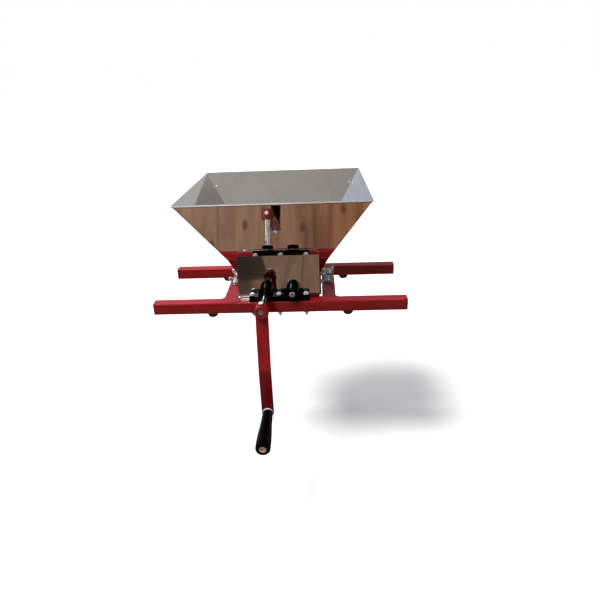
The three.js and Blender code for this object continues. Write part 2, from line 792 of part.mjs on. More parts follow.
// Crank arm: the bar's side view, swept through its width, welded to the hub
function armSideOutline() {
  const top = [hubBack - hubLength / 2 - armThickness / 2, -armTopBelowAxis];
  const knee = [armFront, -armKneeBelowAxis];
  const lean = Math.atan2(top[0] - knee[0], top[1] - knee[1]);
  const trim = armKneeRadius * Math.tan(lean / 2);
  const bendStart = -armKneeBelowAxis - trim;
  const centre = armFront + armKneeRadius;
  const front = [];
  const back = [];
  for (let i = 0; i <= armKneeSteps; i += 1) {
    const angle = lean * i / armKneeSteps;
    for (const [line, radius] of [[front, armKneeRadius], [back, armKneeRadius - armThickness]]) {
      line.push([centre - radius * Math.cos(angle), bendStart + radius * Math.sin(angle)]);
    }
  }
  const outline = new THREE.Shape();
  outline.moveTo(armFront, -crankRadius - armWidth / 2);
  for (const [y, z] of front) outline.lineTo(y, z);
  outline.lineTo(...top);
  outline.lineTo(top[0] + armThickness / Math.cos(lean), top[1]);
  for (const [y, z] of back.toReversed()) outline.lineTo(y, z);
  outline.lineTo(armBack, -crankRadius - armWidth / 2);
  outline.closePath();
  return outline;
}

// Seen from the front, the bar has straight sides and a full round end about the grip's spindle
function armFrontOutline() {
  const half = armWidth / 2;
  const outline = new THREE.Shape();
  outline.moveTo(half, 0);
  outline.lineTo(-half, 0);
  outline.absarc(0, -crankRadius, half, Math.PI, 2 * Math.PI, false);
  outline.closePath();
  outline.holes.push(roundPath(spindleRadius + holeGap, roundSides, 0, -crankRadius));
  return outline;
}

function crankArmGeometry() {
  const side = extrudedX(armSideOutline(), armWidth + 2 * overrun, -armWidth / 2 - overrun);
  const depth = hubLength + armSetForward + armThickness;
  const face = extrudedY(armFrontOutline(), 2 * depth, hubBack - 2 * depth, archSteps);
  const bar = solidOf(side).intersect(solidOf(face));
  const hub = solidOf(cylinderY(hubRadius, hubFront, hubBack, 0, 0, fineSides));
  const bore = solidOf(cylinderY(shaftRadius + holeGap, hubFront - overrun, hubBack + overrun, 0, 0));
  const screwHole = solidOf(cylinderZ(setScrewRadius + holeGap, 0, hubRadius + overrun, 0,
    hubBack - hubLength / 2, smallSides));
  return geometryOf(bar.add(hub).subtract(bore).subtract(screwHole));
}

function setScrewGeometry() {
  const seat = hubRadius + setScrewNeck;
  const shank = cylinderZ(setScrewRadius, shaftRadius + seatGap, seat + setScrewHeadHeight / 2, 0, 0, smallSides);
  const head = hexPrismZ(setScrewFlats, seat, seat + setScrewHeadHeight, 0, 0);
  return joined(shank, head);
}

add(driveTrain, 'crank_arm', crankArmGeometry(), finishes.redPaint);
const setScrew = add(driveTrain, 'crank_set_screw', setScrewGeometry(), finishes.zinc);
setScrew.position.y = hubBack - hubLength / 2;

// Grip end: nut, arm, washer, grip and the socket screw that they turn on, along -Y
const gripStart = washerThickness + 2 * seatGap;
const gripEnd = gripStart + gripLength;
const gripFloor = gripEnd - gripRecessDepth;

function gripGeometry() {
  const waist = gripLength * gripWaistShare;
  const belly = gripLength * gripBellyShare;
  const bore = spindleRadius + runGap;
  const profile = [[bore, gripStart], [gripBackRadius, gripStart]];
  for (let i = 0; i <= gripSteps; i += 1) {
    const share = i / gripSteps;
    const swell = share * share * (3 - 2 * share);
    profile.push([gripWaistRadius + (gripBellyRadius - gripWaistRadius) * swell,
      gripStart + waist + (belly - waist) * share]);
  }
  for (let i = 0; i <= gripRoundSteps; i += 1) {
    const angle = (i / gripRoundSteps) * Math.PI / 2;
    profile.push([gripBellyRadius - gripRound + gripRound * Math.cos(angle),
      gripEnd - gripRound + gripRound * Math.sin(angle)]);
  }
  profile.push([gripRecessRadius, gripEnd], [gripRecessRadius, gripFloor], [bore, gripFloor], [bore, gripStart]);
  return revolvedFront(profile);
}

function washerGeometry() {
  const bore = spindleRadius + holeGap;
  return revolvedFront([[bore, seatGap], [washerRadius, seatGap], [washerRadius, seatGap + washerThickness],
    [bore, seatGap + washerThickness], [bore, seatGap]]);
}

function spindleGeometry() {
  const tail = -armThickness - seatGap - spindleNutHeight - spindleTail;
  const seat = gripFloor + seatGap;
  const top = seat + spindleHeadHeight;
  const body = revolvedFront([[0, tail], [spindleRadius, tail], [spindleRadius, seat], [spindleHeadRadius, seat],
    [spindleHeadRadius, top - boltTip], [spindleHeadRadius - boltTip, top], [0, top]]);
  const socket = extruded(hexagon(2 * spindleSocket), spindleSocketDepth + overrun).rotateX(Math.PI / 2)
    .translate(0, spindleSocketDepth - top, 0);
  return cut(body, socket);
}

const gripStation = new THREE.Group();
gripStation.position.set(0, armFront, -crankRadius);
driveTrain.add(gripStation);
add(gripStation, 'grip_washer', washerGeometry(), finishes.zinc);
add(gripStation, 'grip', gripGeometry(), finishes.blackPlastic);
add(gripStation, 'grip_spindle', spindleGeometry(), finishes.steel);
const spindleNut = add(gripStation, 'grip_spindle_nut',
  nutGeometry(spindleNutFlats, spindleNutHeight, spindleRadius).rotateX(Math.PI / 2), finishes.zinc);
spindleNut.position.y = armThickness + seatGap + spindleNutHeight;

export default root;
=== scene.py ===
import json
import math

import bmesh
import bpy
from mathutils import Matrix, Vector


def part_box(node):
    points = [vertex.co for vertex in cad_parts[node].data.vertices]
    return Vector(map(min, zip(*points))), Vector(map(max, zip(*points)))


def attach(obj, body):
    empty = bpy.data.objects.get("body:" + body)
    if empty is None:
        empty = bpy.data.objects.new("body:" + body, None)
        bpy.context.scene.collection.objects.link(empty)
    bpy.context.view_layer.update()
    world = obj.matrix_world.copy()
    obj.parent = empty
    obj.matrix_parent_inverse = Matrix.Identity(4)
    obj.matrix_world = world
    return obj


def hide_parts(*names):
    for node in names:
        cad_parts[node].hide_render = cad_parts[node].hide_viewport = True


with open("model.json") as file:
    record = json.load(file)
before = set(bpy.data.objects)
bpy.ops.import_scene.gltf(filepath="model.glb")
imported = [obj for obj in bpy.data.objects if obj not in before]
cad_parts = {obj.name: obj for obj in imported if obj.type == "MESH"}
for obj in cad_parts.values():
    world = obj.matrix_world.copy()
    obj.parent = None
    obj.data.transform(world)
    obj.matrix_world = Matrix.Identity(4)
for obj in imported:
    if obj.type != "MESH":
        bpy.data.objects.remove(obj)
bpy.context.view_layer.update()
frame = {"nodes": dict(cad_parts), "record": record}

MM = 0.001
NODE_BODY = {node: body for body, nodes in frame["record"]["behaviour"]["bodies"].items() for node in nodes}
NODE_SLOT = {row["node"]: row["material_slot"] for row in frame["record"]["subparts"]}
SIDES = {"left": -1, "right": 1}
ENDS = {"front": -1, "rear": 1}

# Sizes in millimetres that the pieces below share with the CAD solids
SEAT_GAP = 0.3
RAIL_SIZE = 25
RAIL_MIDDLE = 101.5
SHAFT_PLACE = {"drive": -28, "driven": 28}
SHAFT_HEIGHT = 42
SHAFT_RADIUS = 6
BOLT_PLACES = {"left": -56, "middle": 0, "right": 56}
BOLT_SEAT = 36.8
STUD_X = 105
STUD_Y = {"front": -7.5, "rear": 37.5}
WING_SEAT = 26.8
WING_ANGLES = {"left_front": 12, "left_rear": -14, "right_front": -38, "right_rear": 32}
WING_HUB_HEIGHT = 8
STUD_TOP = WING_SEAT + WING_HUB_HEIGHT + 4
HUB_MIDDLE = -191
HUB_RADIUS = 13
ARM_FRONT = -211
ARM_THICKNESS = 5
GRIP_CENTRE = (-28, ARM_FRONT, -181)
GRIP_START = 2.8
GRIP_LENGTH = 112
GRIP_END = GRIP_START + GRIP_LENGTH
GRIP_RECESS = 5.5
FOOT_X = 143

# Camera, at the photograph's place and angle
CAMERA_PLACE = Vector((0.084719, -1.053759, 0.452295))
CAMERA_PITCH = math.radians(24.27)
CAMERA_YAW = math.radians(-2.52)
CAMERA_ROLL = math.radians(-2.3)
CAMERA_LENS = 30.0
SENSOR_WIDTH = 36


def add_camera():
    forward = Vector((math.sin(CAMERA_YAW) * math.cos(CAMERA_PITCH),
                      math.cos(CAMERA_YAW) * math.cos(CAMERA_PITCH), -math.sin(CAMERA_PITCH)))
    level = Vector((math.cos(CAMERA_YAW), -math.sin(CAMERA_YAW), 0))
    above = level.cross(forward)
    right = math.cos(CAMERA_ROLL) * level + math.sin(CAMERA_ROLL) * above
    up = math.cos(CAMERA_ROLL) * above - math.sin(CAMERA_ROLL) * level
    data = bpy.data.cameras.new("photo_camera")
    data.sensor_width = SENSOR_WIDTH
    data.lens = CAMERA_LENS
    camera = bpy.data.objects.new("photo_camera", data)
    bpy.context.scene.collection.objects.link(camera)
    turn = Matrix((right, up, -forward)).transposed().to_4x4()
    camera.matrix_world = Matrix.Translation(CAMERA_PLACE) @ turn
    bpy.context.scene.camera = camera


add_camera()


# Node trees
class Nodes:
    """A node tree under construction: each helper adds one node and gives its output socket."""

    def __init__(self, tree):
        self.tree = tree

    def add(self, kind, inputs, output=0, **settings):
        """A node with its inputs, each of which is a plain value or another node's socket."""
        node = self.tree.nodes.new(kind)
        for setting, value in settings.items():
            setattr(node, setting, value)
        for socket, value in inputs.items():
            if isinstance(value, bpy.types.NodeSocket):
                self.tree.links.new(value, node.inputs[socket])
            else:
                node.inputs[socket].default_value = value
        return node.outputs[output]

    def spread(self, value, low, high, out_low, out_high):
        """value's range from low to high, mapped to out_low to out_high and clamped there."""
        return self.add("ShaderNodeMapRange", {
            "Value": value, "From Min": low, "From Max": high, "To Min": out_low, "To Max": out_high})

    def share(self, value, limits):
        """0 where value is at the first of two limits or before it, and 1 at the second or past it."""
        return self.spread(value, *limits, 0, 1)

    def opposite(self, share):
        return self.spread(share, 0, 1, 1, 0)

    def parts(self, vector):
        """The three parts of a vector by their letters."""
        node = self.tree.nodes.new("ShaderNodeSeparateXYZ")
        self.tree.links.new(vector, node.inputs[0])
        return node.outputs

    def multiply(self, a, b):
        return self.add("ShaderNodeMath", {0: a, 1: b}, operation="MULTIPLY")

    def total(self, a, b):
        return self.add("ShaderNodeMath", {0: a, 1: b}, operation="ADD")

    def scaled(self, vector, factor):
        return self.add("ShaderNodeVectorMath", {0: vector, "Scale": factor}, operation="SCALE")

    def blended(self, share, first, second, mode="MIX"):
        """The first colour with the second mixed into it by share."""
        node = self.tree.nodes.new("ShaderNodeMix")
        node.data_type = "RGBA"
        node.blend_type = mode
        for index, value in ((0, share), (6, first), (7, second)):
            if isinstance(value, bpy.types.NodeSocket):
                self.tree.links.new(value, node.inputs[index])
            else:
                node.inputs[index].default_value = value if index == 0 else (*value, 1)
        return node.outputs[2]

    def coloured(self, value, stops, low_tint, high_tint):
        """A colour by value: stops of (place, level), in one tint below TINT_CHANGE and another above."""
        node = self.tree.nodes.new("ShaderNodeValToRGB")
        self.tree.links.new(value, node.inputs[0])
        elements = node.color_ramp.elements
        while len(elements) < len(stops):
            elements.new(0.5)
        for element, (place, level) in zip(elements, stops):
            tint = low_tint if place < TINT_CHANGE else high_tint
            element.position = place
            element.color = (*[level * part for part in tint], 1)
        return node.outputs[0]


class Shader(Nodes):
    """A Principled material under construction, with its texture coordinates in the row frame."""

    def __init__(self, name, **sockets):
        self.material = bpy.data.materials.new(name)
        self.material.use_nodes = True
        super().__init__(self.material.node_tree)
        self.principled = self.tree.nodes["Principled BSDF"]
        self.coordinates = self.tree.nodes.new("ShaderNodeTexCoord").outputs["Object"]
        for socket, value in sockets.items():
            self.principled.inputs[socket.replace("_", " ")].default_value = value

    def join(self, socket, value):
        self.tree.links.new(value, self.principled.inputs[socket])

    def place(self):
        return self.parts(self.coordinates)

    def normal(self):
        return self.add("ShaderNodeNewGeometry", {}, output="Normal")

    def stretched(self, scale, turn=(0, 0, 0)):
        return self.add("ShaderNodeMapping", {"Vector": self.coordinates, "Scale": scale, "Rotation": turn})

    def noise(self, scale, detail=3, roughness=0.5, vector=None, distortion=0):
        return self.add("ShaderNodeTexNoise", {
            "Vector": vector or self.coordinates, "Scale": scale, "Detail": detail,
            "Roughness": roughness, "Distortion": distortion})

    def clouds(self, scale, low, high, **settings):
        """Noise whose middle range, from low to high, is spread over 0 to 1."""
        return self.spread(self.noise(scale, **settings), low, high, 0, 1)

    def edges(self, low=0.53, high=0.6):
        """1 on the sharp outer edges and 0 on the flats, where handling wears a finish."""
        pointiness = self.add("ShaderNodeNewGeometry", {}, output="Pointiness")
        return self.spread(pointiness, low, high, 0, 1)

    def bump(self, height, strength, distance, normal=None):
        inputs = {"Height": height, "Strength": strength, "Distance": distance}
        if normal:
            inputs["Normal"] = normal
        return self.add("ShaderNodeBump", inputs)


# Paint. Each pair of limits is where a tone's share runs from 0 to 1: places in metres, parts of a normal
SHAFT_RING = (0.0078, 0.0072)
BELOW_KNEE = (-0.078, -0.088)
ON_CRANK = (-0.17, -0.175)
FRONT_FACES = (-0.6, -0.7)
UPPER_FACES = (0.3, 0.7)


def red_paint():
    s = Shader("red_paint", Coat_Weight=0.25, Coat_Roughness=0.06, IOR=1.45, Specular_IOR_Level=0.2)
    base = s.blended(s.clouds(22, 0.35, 0.65, detail=4), (0.245, 0.0042, 0.0078), (0.29, 0.006, 0.01))
    base = s.blended(s.multiply(s.clouds(1400, 0.62, 0.75, detail=1), 0.15), base, (0.4, 0.04, 0.05))
    base = s.blended(s.multiply(s.edges(), 0.25), base, (0.42, 0.04, 0.05))
    # The paint is dark where it meets the drive shaft's end, and darker with painted shade on the lower arm
    # and the hub top, which are in less light
    shaft_end = (SHAFT_PLACE["drive"] * MM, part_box("drive_shaft")[0].y, SHAFT_HEIGHT * MM)
    from_shaft = s.add("ShaderNodeVectorMath", {0: s.coordinates, 1: shaft_end},
                       output="Value", operation="DISTANCE")
    place, faces = s.place(), s.parts(s.normal())
    lower_arm_shade = s.multiply(s.share(place["Z"], BELOW_KNEE), s.share(faces["Y"], FRONT_FACES))
    hub_top_shade = s.multiply(s.share(faces["Z"], UPPER_FACES), s.share(place["Y"], ON_CRANK))
    base = s.blended(s.multiply(s.share(from_shaft, SHAFT_RING), 0.9), base, (0.015, 0.008, 0.008))
    base = s.blended(s.multiply(lower_arm_shade, 0.45), base, (0.03, 0.001, 0.002))
    base = s.blended(s.multiply(hub_top_shade, 0.45), base, (0.08, 0.002, 0.004))
    s.join("Base Color", base)
    s.join("Roughness", s.spread(s.noise(75, detail=5), 0.3, 0.7, 0.27, 0.33))
    peel = s.noise(420, detail=2)
    wave = s.noise(38, detail=2)
    s.join("Normal", s.bump(peel, 0.03, 0.0003, s.bump(wave, 0.02, 0.001)))
    return s.material


# Sheet: each area's share and its tone, mixed over the areas before it. These tones are painted light and
# shade on the polished sheet: painted shade on the guard, the front wall, the cut edge, the throat, the fold
# under the hem and the ears, a painted highlight on the hem's top, and painted reflections on the inner side
# walls
SHEET_PAINTED_LIGHT = {
    "guard": (0.9, (0.2, 0.19, 0.178)),
    "wall": (0.9, (0.46, 0.44, 0.415)),
    "cut_edge": (1, (0.1, 0.1, 0.1)),
    "throat": (0.9, (0.2, 0.19, 0.18)),
    "hem_fold": (0.7, (0.1, 0.1, 0.1)),
    "hem_top": (1, (0.74, 0.75, 0.77)),
    "inner_left": (0.8, (0.67, 0.66, 0.68)),
    "inner_right": (0.75, (0.5, 0.51, 0.53)),
    "ears": (0.9, (0.2, 0.205, 0.22)),
}
# Thin sheet isn't quite flat: what each area's curve adds to its normal
SHEET_BENDS = {
    "bowed_wall": (0, 0.0165, -0.029),
    "guard_front": (0, 0, 0.037),
    "throat": (0, 0.143, -0.515),
    "hem_top": (0, 0, 0.82),
}
HEM_FOLD_HEIGHT = 0.2367
HEM_TOP_HEIGHT = 0.2384
HEM_SPREAD = 1e-5
HEM_ROUGHNESS = 0.5
# Limits of the areas, by place
GUARD_FRONT = (-0.0865, -0.0875)
GUARD_TOP = (0.1205, 0.1195)
THROAT_FRONT = (-0.084, -0.085)
EDGE_HEIGHT = (0.15, 0.145)
HEM_FRONT = (-0.148, -0.152)
EAR_HEIGHT = (0.0285, 0.0275)
BOW_HEIGHTS = (0.125, 0.225)
BOW_SHARES = (1, 0.4)
# Limits of the areas, by the normal's parts
WALL_FORWARD = (-0.8, -0.84)
WALL_DOWN = (-0.4, -0.44)
EDGE_FORWARD = (-0.4, -0.46)
EDGE_UP = (0.8, 0.85)
UPRIGHT = (-0.985, -0.995)
HEM_UP = (0.95, 0.8)
LEFT_WALL = (0.5, 0.6)
RIGHT_WALL = (-0.5, -0.6)
WALL_UP = (0.3, 0.4)


def sheet_areas(s):
    """The share of each area of the sheet, by where a point lies and which way it faces."""
    place, faces = s.place(), s.parts(s.normal())
    guard = s.multiply(s.share(place["Y"], GUARD_FRONT), s.share(place["Z"], GUARD_TOP))
    wall = s.multiply(s.share(faces["Y"], WALL_FORWARD), s.share(faces["Z"], WALL_DOWN))
    upward_edge = s.multiply(s.share(faces["Y"], EDGE_FORWARD), s.share(faces["Z"], EDGE_UP))
    upright = s.share(faces["Y"], UPRIGHT)
    ahead = s.share(place["Y"], THROAT_FRONT)
    front_rim = s.multiply(s.share(faces["Z"], HEM_UP), s.share(place["Y"], HEM_FRONT))

    def rim_above(height):
        return s.multiply(s.share(place["Z"], (height - HEM_SPREAD, height + HEM_SPREAD)), front_rim)

    # Streaks of painted reflection on the right inner wall
    reflection_streaks = s.clouds(1, 0.4, 0.6, detail=3, vector=s.stretched((0.1, 5, 45)))
    upper = s.share(faces["Z"], WALL_UP)
    return {
        "guard": guard,
        "wall": wall,
        "bowed_wall": s.multiply(wall, s.spread(place["Z"], *BOW_HEIGHTS, *BOW_SHARES)),
        "cut_edge": s.multiply(upward_edge, s.share(place["Z"], EDGE_HEIGHT)),
        "guard_front": s.multiply(upright, ahead),
        "throat": s.multiply(upright, s.opposite(ahead)),
        "hem_fold": rim_above(HEM_FOLD_HEIGHT),
        "hem_top": rim_above(HEM_TOP_HEIGHT),
        "inner_left": s.multiply(s.share(faces["X"], LEFT_WALL), upper),
        "inner_right": s.multiply(s.multiply(s.share(faces["X"], RIGHT_WALL), upper), reflection_streaks),
        "ears": s.multiply(s.share(place["Z"], EAR_HEIGHT), s.opposite(guard)),
    }


def bent_normal(s, areas):
    normal = s.normal()
    for area, bend in SHEET_BENDS.items():
        normal = s.add("ShaderNodeVectorMath", {0: normal, 1: s.scaled(bend, areas[area])}, operation="ADD")
    return s.add("ShaderNodeVectorMath", {0: normal}, operation="NORMALIZE")


def stainless_sheet():
    s = Shader("stainless_sheet", Metallic=1.0)
    areas = sheet_areas(s)
    rolling = s.noise(1, detail=4, vector=s.stretched((6, 6, 700)))
    smudge = s.clouds(16, 0.5, 0.72, detail=6, roughness=0.65)
    streak = s.clouds(1, 0.56, 0.7, detail=3, vector=s.stretched((45, 45, 2.2)))
    scratch = s.clouds(1, 0.66, 0.74, detail=2, vector=s.stretched((9, 9, 260), (0.4, 0.3, 0.2)))
    base = s.blended(s.clouds(9, 0.3, 0.7, detail=3), (0.66, 0.64, 0.61), (0.72, 0.705, 0.68))
    base = s.blended(s.multiply(smudge, 0.25), base, (0.56, 0.545, 0.52))
    base = s.blended(s.multiply(streak, 0.18), base, (0.5, 0.49, 0.47))
    # Painted light and shade, area by area
    for area, (share, tone) in SHEET_PAINTED_LIGHT.items():
        base = s.blended(s.multiply(areas[area], share), base, tone)
    s.join("Base Color", base)
    rough = s.total(s.spread(rolling, 0.3, 0.7, 0.02, 0.04), s.multiply(smudge, 0.06))
    rough = s.total(rough, s.multiply(scratch, 0.07))
    s.join("Roughness", s.total(rough, s.multiply(areas["hem_fold"], HEM_ROUGHNESS)))
    dents = s.noise(7, detail=1)
    s.join("Normal", s.bump(rolling, 0.02, 0.0001, s.bump(dents, 0.05, 0.004, bent_normal(s, areas))))
    return s.material


# Metals: limits by the normal's part along Y, which is -1 on a face turned to the front
PLATED_FRONT = (-0.9, -0.97)
SAWN_FRONT = (-0.97, -0.99)
CHAMFER_OUTSIDE = (-0.58, -0.66)
CHAMFER_INSIDE = (-0.9, -0.8)


def plated(name, dull, bright, low, high, grain, metallic):
    """A plated metal: dull and bright tones in clouds, painted shade in its hollows, a painted reflection on
    faces turned to the front, and roughness from low to high.
    """
    s = Shader(name)
    base = s.blended(s.clouds(grain, 0.32, 0.68, detail=5, roughness=0.6), dull, bright)
    # Painted shade: darker and bluer in the hollows
    hollow_shade = s.edges(0.5, 0.44)
    base = s.blended(s.multiply(hollow_shade, 0.85), base, (0.05, 0.1, 0.15))
    base = s.blended(s.multiply(s.edges(), 0.4), base, (0.9, 0.91, 0.92))
    # Faces turned to the front are a darker warm tone and fully metallic: a painted reflection of the warm
    # ground in front
    facing = s.share(s.parts(s.normal())["Y"], PLATED_FRONT)
    s.join("Base Color", s.blended(s.multiply(facing, 0.8), base, (0.5, 0.44, 0.39)))
    s.join("Metallic", s.spread(facing, 0, 1, metallic, 1))
    s.join("Roughness", s.spread(s.noise(grain * 2.3, detail=4), 0.3, 0.7, low, high))
    s.join("Normal", s.bump(s.noise(grain * 7, detail=3), 0.08, 0.0002))
    return s.material


def turned(name, dull, bright, low, high):
    """Bar or face turned on a lathe about Y: fine rings along the axis, a sawn end in front darkened with
    painted shade, and a painted highlight ring on the chamfer.
    """
    s = Shader(name)
    rings = s.noise(1, detail=5, roughness=0.7, vector=s.stretched((4, 1500, 4)))
    stain = s.noise(55, detail=5)
    base = s.blended(s.spread(stain, 0.35, 0.7, 0, 1), bright, dull)
    base = s.blended(s.multiply(s.edges(), 0.35), base, (0.88, 0.88, 0.88))
    facing = s.parts(s.normal())["Y"]
    # A sawn end in front, darkened with painted shade
    shaded_sawn_end = s.share(facing, SAWN_FRONT)
    base = s.blended(s.multiply(shaded_sawn_end, 0.95), base, tuple(part * 0.32 for part in dull))
    # The chamfer is light grey and less metallic all round: a painted highlight ring
    chamfer = s.multiply(s.share(facing, CHAMFER_OUTSIDE), s.share(facing, CHAMFER_INSIDE))
    base = s.blended(s.multiply(chamfer, 0.9), base, (0.6, 0.6, 0.6))
    s.join("Base Color", base)
    s.join("Metallic", s.spread(chamfer, 0, 1, 1, 0.3))
    s.join("Roughness", s.total(s.spread(rings, 0.3, 0.7, low, high), s.spread(stain, 0.5, 0.8, 0, 0.05)))
    s.join("Normal", s.bump(rings, 0.04, 0.0001))
    return s.material


def moulded(name, tone, low, high, grain, depth, sheen, dust_share, index, specular):
    """Moulded plastic or rubber: a near black tone with fine grain, a little dust and rubbed edges."""
    s = Shader(name, IOR=index, Specular_IOR_Level=specular)
    dark = tuple(part * 0.6 for part in tone)
    base = s.blended(s.clouds(60, 0.35, 0.65, detail=4), dark, tone)
    dust = s.clouds(260, 0.6, 0.8, detail=5, roughness=0.7)
    base = s.blended(s.multiply(dust, dust_share), base, sheen)
    base = s.blended(s.multiply(s.edges(), 0.25), base, sheen)
    s.join("Base Color", base)
    s.join("Roughness", s.spread(s.noise(110, detail=5), 0.3, 0.7, low, high))
    s.join("Normal", s.bump(s.noise(grain, detail=2), 0.06, depth))
    return s.material


def cast_aluminium():
    s = Shader("aluminium", Metallic=1.0)
    pores = s.add("ShaderNodeTexVoronoi", {"Vector": s.coordinates, "Scale": 900.0})
    base = s.blended(s.clouds(30, 0.3, 0.7, detail=5), (0.5, 0.505, 0.51), (0.66, 0.665, 0.67))
    base = s.blended(s.multiply(s.edges(), 0.5), base, (0.82, 0.82, 0.82))
    s.join("Base Color", base)
    s.join("Roughness", s.spread(s.noise(140, detail=4), 0.3, 0.7, 0.34, 0.52))
    grain = s.total(s.multiply(s.noise(700, detail=3), 0.7), s.multiply(pores, 0.3))
    s.join("Normal", s.bump(grain, 0.25, 0.0004))
    return s.material


MATERIALS = {
    "red_paint": red_paint(),
    "stainless_sheet": stainless_sheet(),
    "zinc": plated("zinc", dull=(0.5, 0.7, 0.82), bright=(0.88, 0.93, 0.95), low=0.12, high=0.2,
                   grain=110, metallic=0.2),
    "bright_steel": turned("bright_steel", dull=(0.5, 0.5, 0.51), bright=(0.74, 0.74, 0.75),
                           low=0.05, high=0.11),
    "gear_steel": turned("gear_steel", dull=(0.24, 0.235, 0.23), bright=(0.46, 0.46, 0.46),
                         low=0.24, high=0.38),
    "black_plastic": moulded("black_plastic", tone=(0.0012, 0.0013, 0.001), low=0.1, high=0.17, grain=1700,
                             depth=0.0001, sheen=(0.012, 0.012, 0.012), dust_share=0.02, index=1.18,
                             specular=0.12),
    "rubber": moulded("rubber", tone=(0.012, 0.012, 0.012), low=0.55, high=0.75, grain=900, depth=0.0002,
                      sheen=(0.04, 0.039, 0.037), dust_share=0.12, index=1.5, specular=0.5),
    "aluminium": cast_aluminium(),
}

# Meshes. Angles in degrees: edges below a smooth angle are shaded smooth
SMOOTH_ANGLE = 38
TURNED_ANGLE = 30
GRIP_ANGLE = 35
WELD_ANGLE = 60
TAB_ANGLE = 40
ROUNDED_ANGLE = 30
SHARP_ANGLE = 20
SAME_PLANE_ANGLE = 0.4
SAME_PLACE = 1e-6
made_by_hand = set()


def new_mesh_object(name, shape, slot, smooth_angle):
    """An object with its finish, from a shape's plain vertices and faces."""
    vertices, faces = shape
    mesh = bpy.data.meshes.new(name)
    mesh.from_pydata([tuple(v) for v in vertices], [], faces)
    mesh.validate()
    mesh.shade_smooth()
    mesh.set_sharp_from_angle(angle=math.radians(smooth_angle))
    mesh.materials.append(MATERIALS[slot])
    piece = bpy.data.objects.new(name, mesh)
    bpy.context.scene.collection.objects.link(piece)
    return piece


def placed(node, shape, smooth_angle=SMOOTH_ANGLE):
    """The visible piece of a CAD node, which rides with the node's body."""
    slot = NODE_SLOT[node]
    piece = new_mesh_object(f"{node}_piece", shape, slot, smooth_angle)
    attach(piece, NODE_BODY[node])
    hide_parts(node)
    return piece


def plain(bm):
    """A bmesh's vertices and faces as plain lists; the bmesh is freed."""
    bm.verts.index_update()
    vertices = [v.co.copy() for v in bm.verts]
    faces = [[v.index for v in face.verts] for face in bm.faces]
    bm.free()
    return vertices, faces


def node_shape(node):
    """A CAD node's shape with its triangles merged back into the flat faces that they came from."""
    bm = bmesh.new()
    bm.from_mesh(frame["nodes"][node].data)
    bmesh.ops.remove_doubles(bm, verts=bm.verts, dist=SAME_PLACE)
    bmesh.ops.dissolve_limit(bm, angle_limit=math.radians(SAME_PLANE_ANGLE), verts=bm.verts, edges=bm.edges)
    return bm


def rounded(piece, width, segments=2, angle=ROUNDED_ANGLE):
    """Rounds the piece's edges that are sharper than angle, as a real edge always is a little."""
    bevel = piece.modifiers.new("edge_rounding", "BEVEL")
    bevel.width = width
    bevel.segments = segments
    bevel.limit_method = "ANGLE"
    bevel.angle_limit = math.radians(angle)
    bevel.harden_normals = True
    bevel.miter_outer = "MITER_ARC"
    return piece


def rounded_by_edge(node, width, segments, share_of):
    """The CAD node's own shape, each sharp edge rounded to its own share of width."""
    bm = node_shape(node)
    bm.verts.index_update()
    shares = {}
    for edge in bm.edges:
        if len(edge.link_faces) == 2 and edge.calc_face_angle(0) >= math.radians(SHARP_ANGLE):
            ends = tuple(sorted(v.index for v in edge.verts))
            shares[ends] = share_of(*(v.co.copy() for v in edge.verts))
    made_by_hand.add(node)
    piece = placed(node, plain(bm))
    attribute = piece.data.attributes.new("bevel_weight_edge", "FLOAT", "EDGE")
    for edge in piece.data.edges:
        attribute.data[edge.index].value = shares.get(tuple(sorted(edge.vertices)), 0)
    rounded(piece, width, segments).modifiers["edge_rounding"].limit_method = "WEIGHT"
    return piece


def dressed(node, width, angle=ROUNDED_ANGLE):
    """The CAD node's own shape with rounded edges and its finish."""
    return rounded(placed(node, plain(node_shape(node))), width, angle=angle)


def lofted(rings, loop=False):
    """Vertices and faces through rings of one count of points; a ring of one point closes an end."""
    vertices, places = [], []
    for ring in rings:
        places.append(range(len(vertices), len(vertices) + len(ring)))
        vertices += ring
    steps = max(len(ring) for ring in rings)
    pairs = list(zip(places, places[1:]))
    if loop:
        pairs.append((places[-1], places[0]))
    faces = []
    for lower, upper in pairs:
        for i in range(steps):
            j = (i + 1) % steps
            corners = [lower[i % len(lower)], lower[j % len(lower)],
                       upper[j % len(upper)], upper[i % len(upper)]]
            faces.append(list(dict.fromkeys(corners)))
    return vertices, faces


def capped(rings):
    """Rings lofted together, with each end closed on its own middle."""
    ends = [[sum(ring, Vector()) / len(ring)] for ring in (rings[0], rings[-1])]
    return lofted([ends[0], *rings, ends[1]])


def around(along, across=None):
    """Three unit directions: across, beside and along."""
    along = Vector(along).normalized()
    across = Vector(across).normalized() if across else along.orthogonal().normalized()
    return across, along.cross(across), along


def lathe(profile, centre, along, steps=48, loop=False, across=None):
    """A turned shape in millimetres: [radius, height], or [radius, height, flats] where it is hexagonal."""
    across, beside, along = around(along, across)
    rings = []
    for radius, height, *flats in profile:
        middle = (Vector(centre) + along * height) * MM
        if radius == 0:
            rings.append([middle])
            continue
        ring = []
        for i in range(steps):
            turn = 2 * math.pi * i / steps
            reach = radius
            if flats:
                from_flat = (turn + math.pi / 6) % (math.pi / 3) - math.pi / 6
                reach = min(radius, flats[0] / 2 / math.cos(from_flat))
            ring.append(middle + reach * MM * (math.cos(turn) * across + math.sin(turn) * beside))
        rings.append(ring)
    return lofted(rings, loop)


THREAD_DEPTH = 0.55
THREAD_STEPS = 24
THREAD_ROWS = 4
TIP_CHAMFER = 0.9
TIP_SLOPE = 0.8


